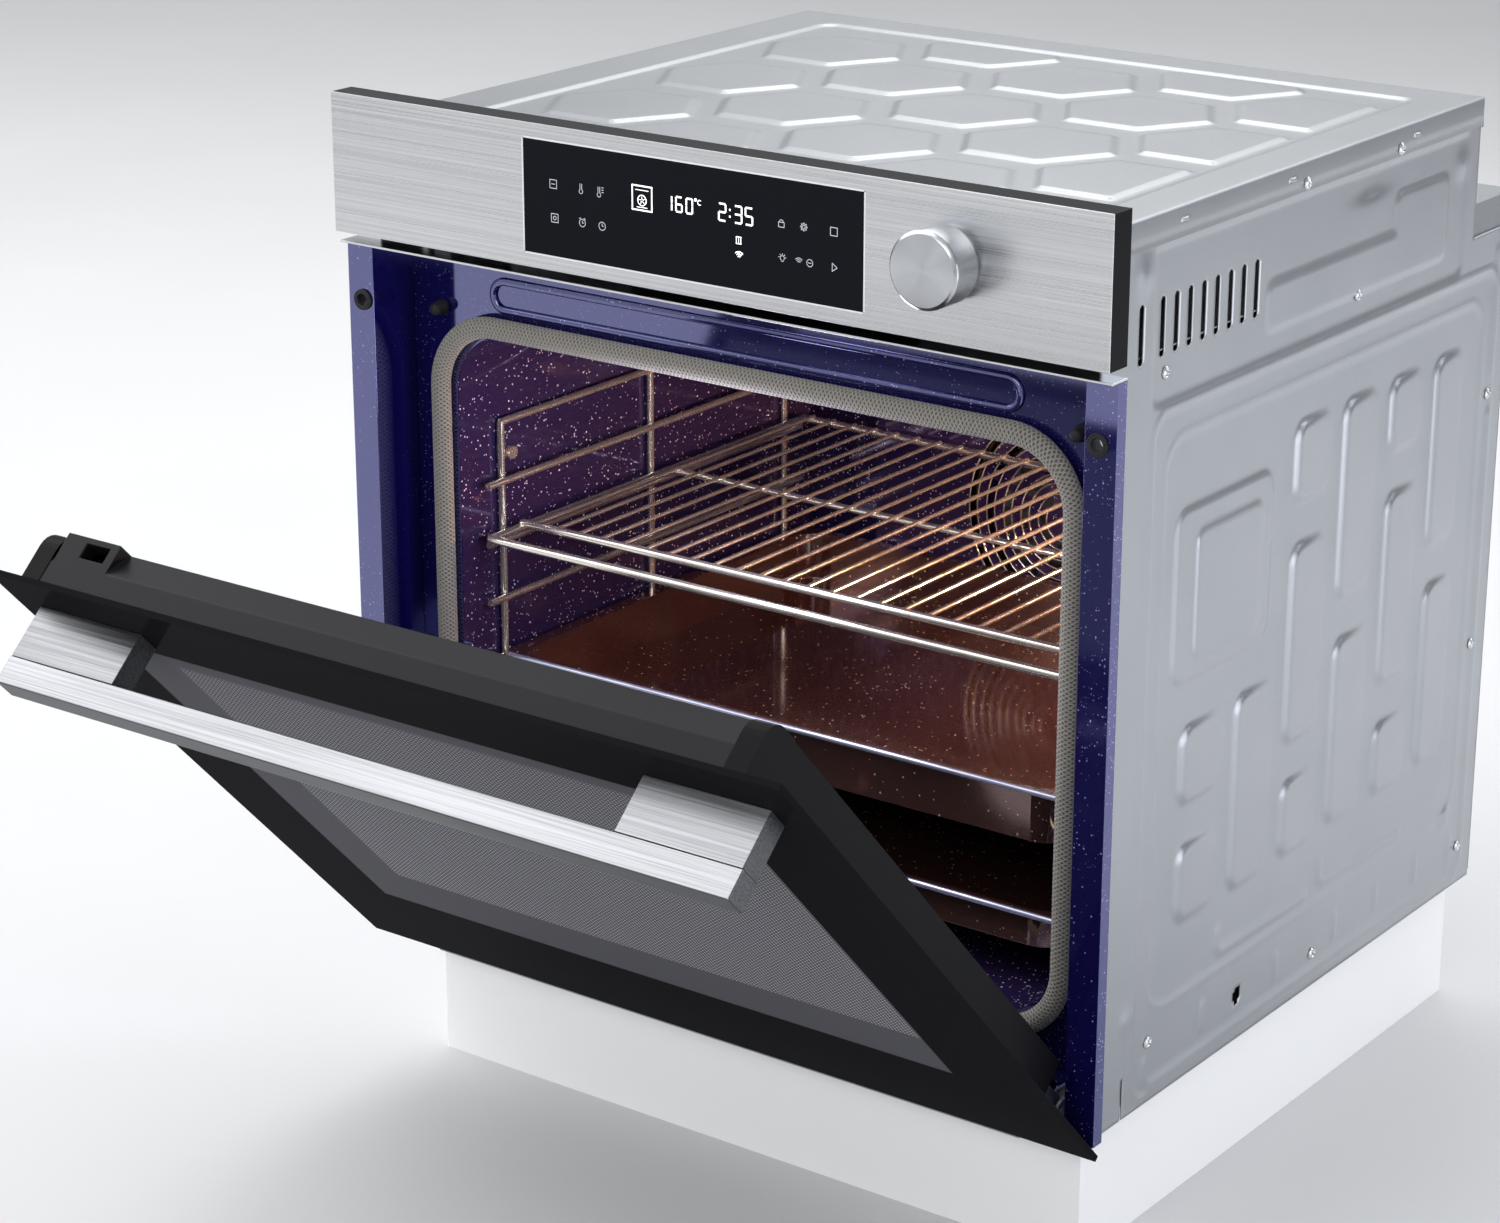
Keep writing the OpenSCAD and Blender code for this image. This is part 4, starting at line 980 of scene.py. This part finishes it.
icons = [box_line(-110.7, 566.2, 2.7, 2.7), [(-112, 566.2), (-109.4, 566.2)],
         box_line(-109.9, 544.5, 2.7, 2.7), arc(-109.9, 544.5, 1.2, n=10),
         *thermometer(-88.4, 564.4), *thermometer(-74, 564.2),
         *[[(-71.8, z), (-70.4, z)] for z in (566, 567.5, 569)],
         *clock(-87.6, 544.4, 2.4, 1.4, 1.0), [(-90, 546.8), (-89, 547.6)],
         [(-85.2, 546.8), (-86.2, 547.6)], *clock(-71.8, 544.6, 2.6, 1.6, 1.1),
         box_line(66.2, 564.8, 2.1, 1.5), arc(66.2, 566.4, 1.4, 0, 180, 9), arc(82.8, 565.7, 1.1),
         *rays(82.8, 565.7, 2.0, 2.7, np.arange(8) * math.pi / 4), arc(82.8, 565.7, 2.0),
         box_line(104.8, 565.9, 2.5, 2.5),
         arc(67, 544.4, 1.5, -60, 240, 14), [(66.3, 542.4), (67.7, 542.4)],
         *rays(67, 544.4, 2.1, 2.8, np.radians([10, 50, 90, 130, 170])),
         *waves(79.3, 542.8, (1.2, 2.3, 3.4)), arc(87.3, 544.2, 2.2),
         [(86.2, 544.2), (88.4, 544.2)],
         [(103.8, 541.6), (103.8, 546.6), (107.4, 544.1), (103.8, 541.6)]]
strokes("display_symbols", [np.array(l) for l in icons], 0.42, faint)
strokes("display_marks", [box_line(34.2, 550.6, 1.7, 2.1), [(34.2, 552.4), (34.2, 549.2)],
                          *waves(34.6, 539.6, (1.2, 2.6, 4.0))], 0.55, bright)
# A near-white line round the display glass: a painted highlight along the glass's edge.
window_edge, tree, shader = finish_of("display_edge_painted_highlight", Metallic=0.25, Roughness=0.3)
glint = add(tree, "TexNoise", Vector=object_place(tree), Scale=30.0)
two_tone(tree, shader, glint.outputs["Fac"], "#eceef0", "#f8f9fa")
strokes("display_window_edge", [box_line(-4.2, 556.4, 131.2, 37.1)], 1.1, window_edge)
print("symbols drawn")

# %% [markdown]
# ## Light, floor and lamp
# The studio is a pale floor, a white surround and large soft boxes. The oven stands on a low plinth so
# that its door can swing right down. The little lamp in the cavity glows warm.

# %% Lamp
lamp = glow("warm_lamp_glass", "#ffc27a", 14.0)
nodes["lamp_bulb"].data.materials.clear()
nodes["lamp_bulb"].data.materials.append(lamp)


def lamp_light(name, kind, place, power, size, colour="#ffffff", aim=None):
    """Light of so many watts; an area light is turned so that it looks from place to aim."""
    data = bpy.data.lights.new(name, kind)
    data.energy = power
    data.color = shade(colour)[:3]
    if kind == "AREA":
        data.shape = "RECTANGLE"
        data.size, data.size_y = size
    else:
        data.shadow_soft_size = size
    light = bpy.data.objects.new(name, data)
    light.location = place
    if aim is not None:
        way = np.array(aim, float) - np.array(place, float)
        light.rotation_euler = (math.atan2(math.hypot(way[0], way[1]), -way[2]), 0,
                                math.atan2(way[1], way[0]) - math.pi / 2)
    bpy.context.collection.objects.link(light)
    return light


lamp_light("cavity_lamp", "POINT", (0.222, 0.33, 0.33), 6.0, 0.012, "#ffcb94")
lamp_light("mouth_fill", "POINT", (-0.02, 0.02, 0.36), 1.2, 0.05, "#eeeaff")
print("one warm lamp and one weak fill in the mouth")

# %% [markdown]
# Floor and plinth belong to the studio and not to the oven, so they ride on no body. Both are matt,
# with a wide faint noise, because a perfectly even white looks like nothing at all.

# %% Floor and plinth


def chalky(name, low, high):
    """Matt paint or paper whose tone drifts a little over a wide noise."""
    m, tree, shader = finish_of(name, Roughness=0.9)
    paper = add(tree, "TexNoise", Vector=object_place(tree), Scale=3.0, Detail=2.0)
    two_tone(tree, shader, paper.outputs["Fac"], low, high)
    return m


def studio_object(name, points, faces, finish):
    """Object from points in mm that rides on no body."""
    mesh = bpy.data.meshes.new(name)
    mesh.from_pydata((np.asarray(points) * MM).tolist(), [], faces)
    mesh.materials.append(finish)
    made = bpy.data.objects.new(name, mesh)
    bpy.context.collection.objects.link(made)
    return made


FLOOR_Z = -95.0
floor_line = np.linspace(-9000, 9000, 5)
fx, fy = np.meshgrid(floor_line, floor_line, indexing="ij")
floor = studio_object("floor", np.stack([fx, fy, np.full(fx.shape, FLOOR_Z)], -1).reshape(-1, 3),
                      grid_faces(5, 5).tolist(), chalky("pale_paper", "#d2d2d3", "#d8d8d9"))
corner = [(x, y, z) for z in (FLOOR_Z, -0.5) for x, y in
          ((-265, 30), (265, 30), (265, 540), (-265, 540))]
plinth = studio_object("plinth", corner, [(0, 3, 2, 1), (4, 5, 6, 7), (0, 1, 5, 4), (1, 2, 6, 5),
                                          (2, 3, 7, 6), (3, 0, 4, 7)],
                       chalky("white_plinth_board", "#f4f4f4", "#f8f8f8"))
print("floor at", FLOOR_Z, "mm")

# %% [markdown]
# One very large soft box from the left lights the front, smaller ones lift the roof and the display,
# and two cards on the right give the pressings their bright edges. The surround is darker toward the
# rear right, and the side panel mirrors that darker part.

# %% Studio light
world = bpy.data.worlds.new("studio")
world.use_nodes = True
tree = world.node_tree
way = add(tree, "TexCoord").outputs["Generated"]
toward = add(tree, "VectorMath", {"operation": "DOT_PRODUCT"}, i0=way, i1=(0.62, 0.72, -0.3))
tree.links.new(level(tree, toward.outputs["Value"], -0.5, 0.8, 0.78, 0.12),
               tree.nodes["Background"].inputs["Strength"])
tree.nodes["Background"].inputs["Color"].default_value = shade("#f6f8fb")
bpy.context.scene.world = world
lamp_light("key_box", "AREA", (-2.6, -0.6, 3.2), 150, (5.0, 5.0), "#ffffff", (-0.3, 0.1, 0.0))
lamp_light("front_box", "AREA", (0.4, -3.2, 1.9), 26, (2.2, 1.2), "#ffffff", (0, 0, 0.35))
for name, place, power, size, aim in (
        ("right_card", (1.7, 0.2, 0.42), 9, (1.3, 1.0), (0, 0.2, 0.42)),
        ("back_card", (1.9, 2.4, 1.6), 22, (1.8, 1.6), (0, 0.25, 0.3))):
    card = lamp_light(name, "AREA", place, power, size, "#f4f7ff", aim)
    card.visible_camera = False
lamp_light("top_box", "AREA", (-0.4, 2.2, 2.4), 36, (2.6, 1.2), "#ffffff", (0, 0.25, 0.4))
print("three soft boxes and two cards")
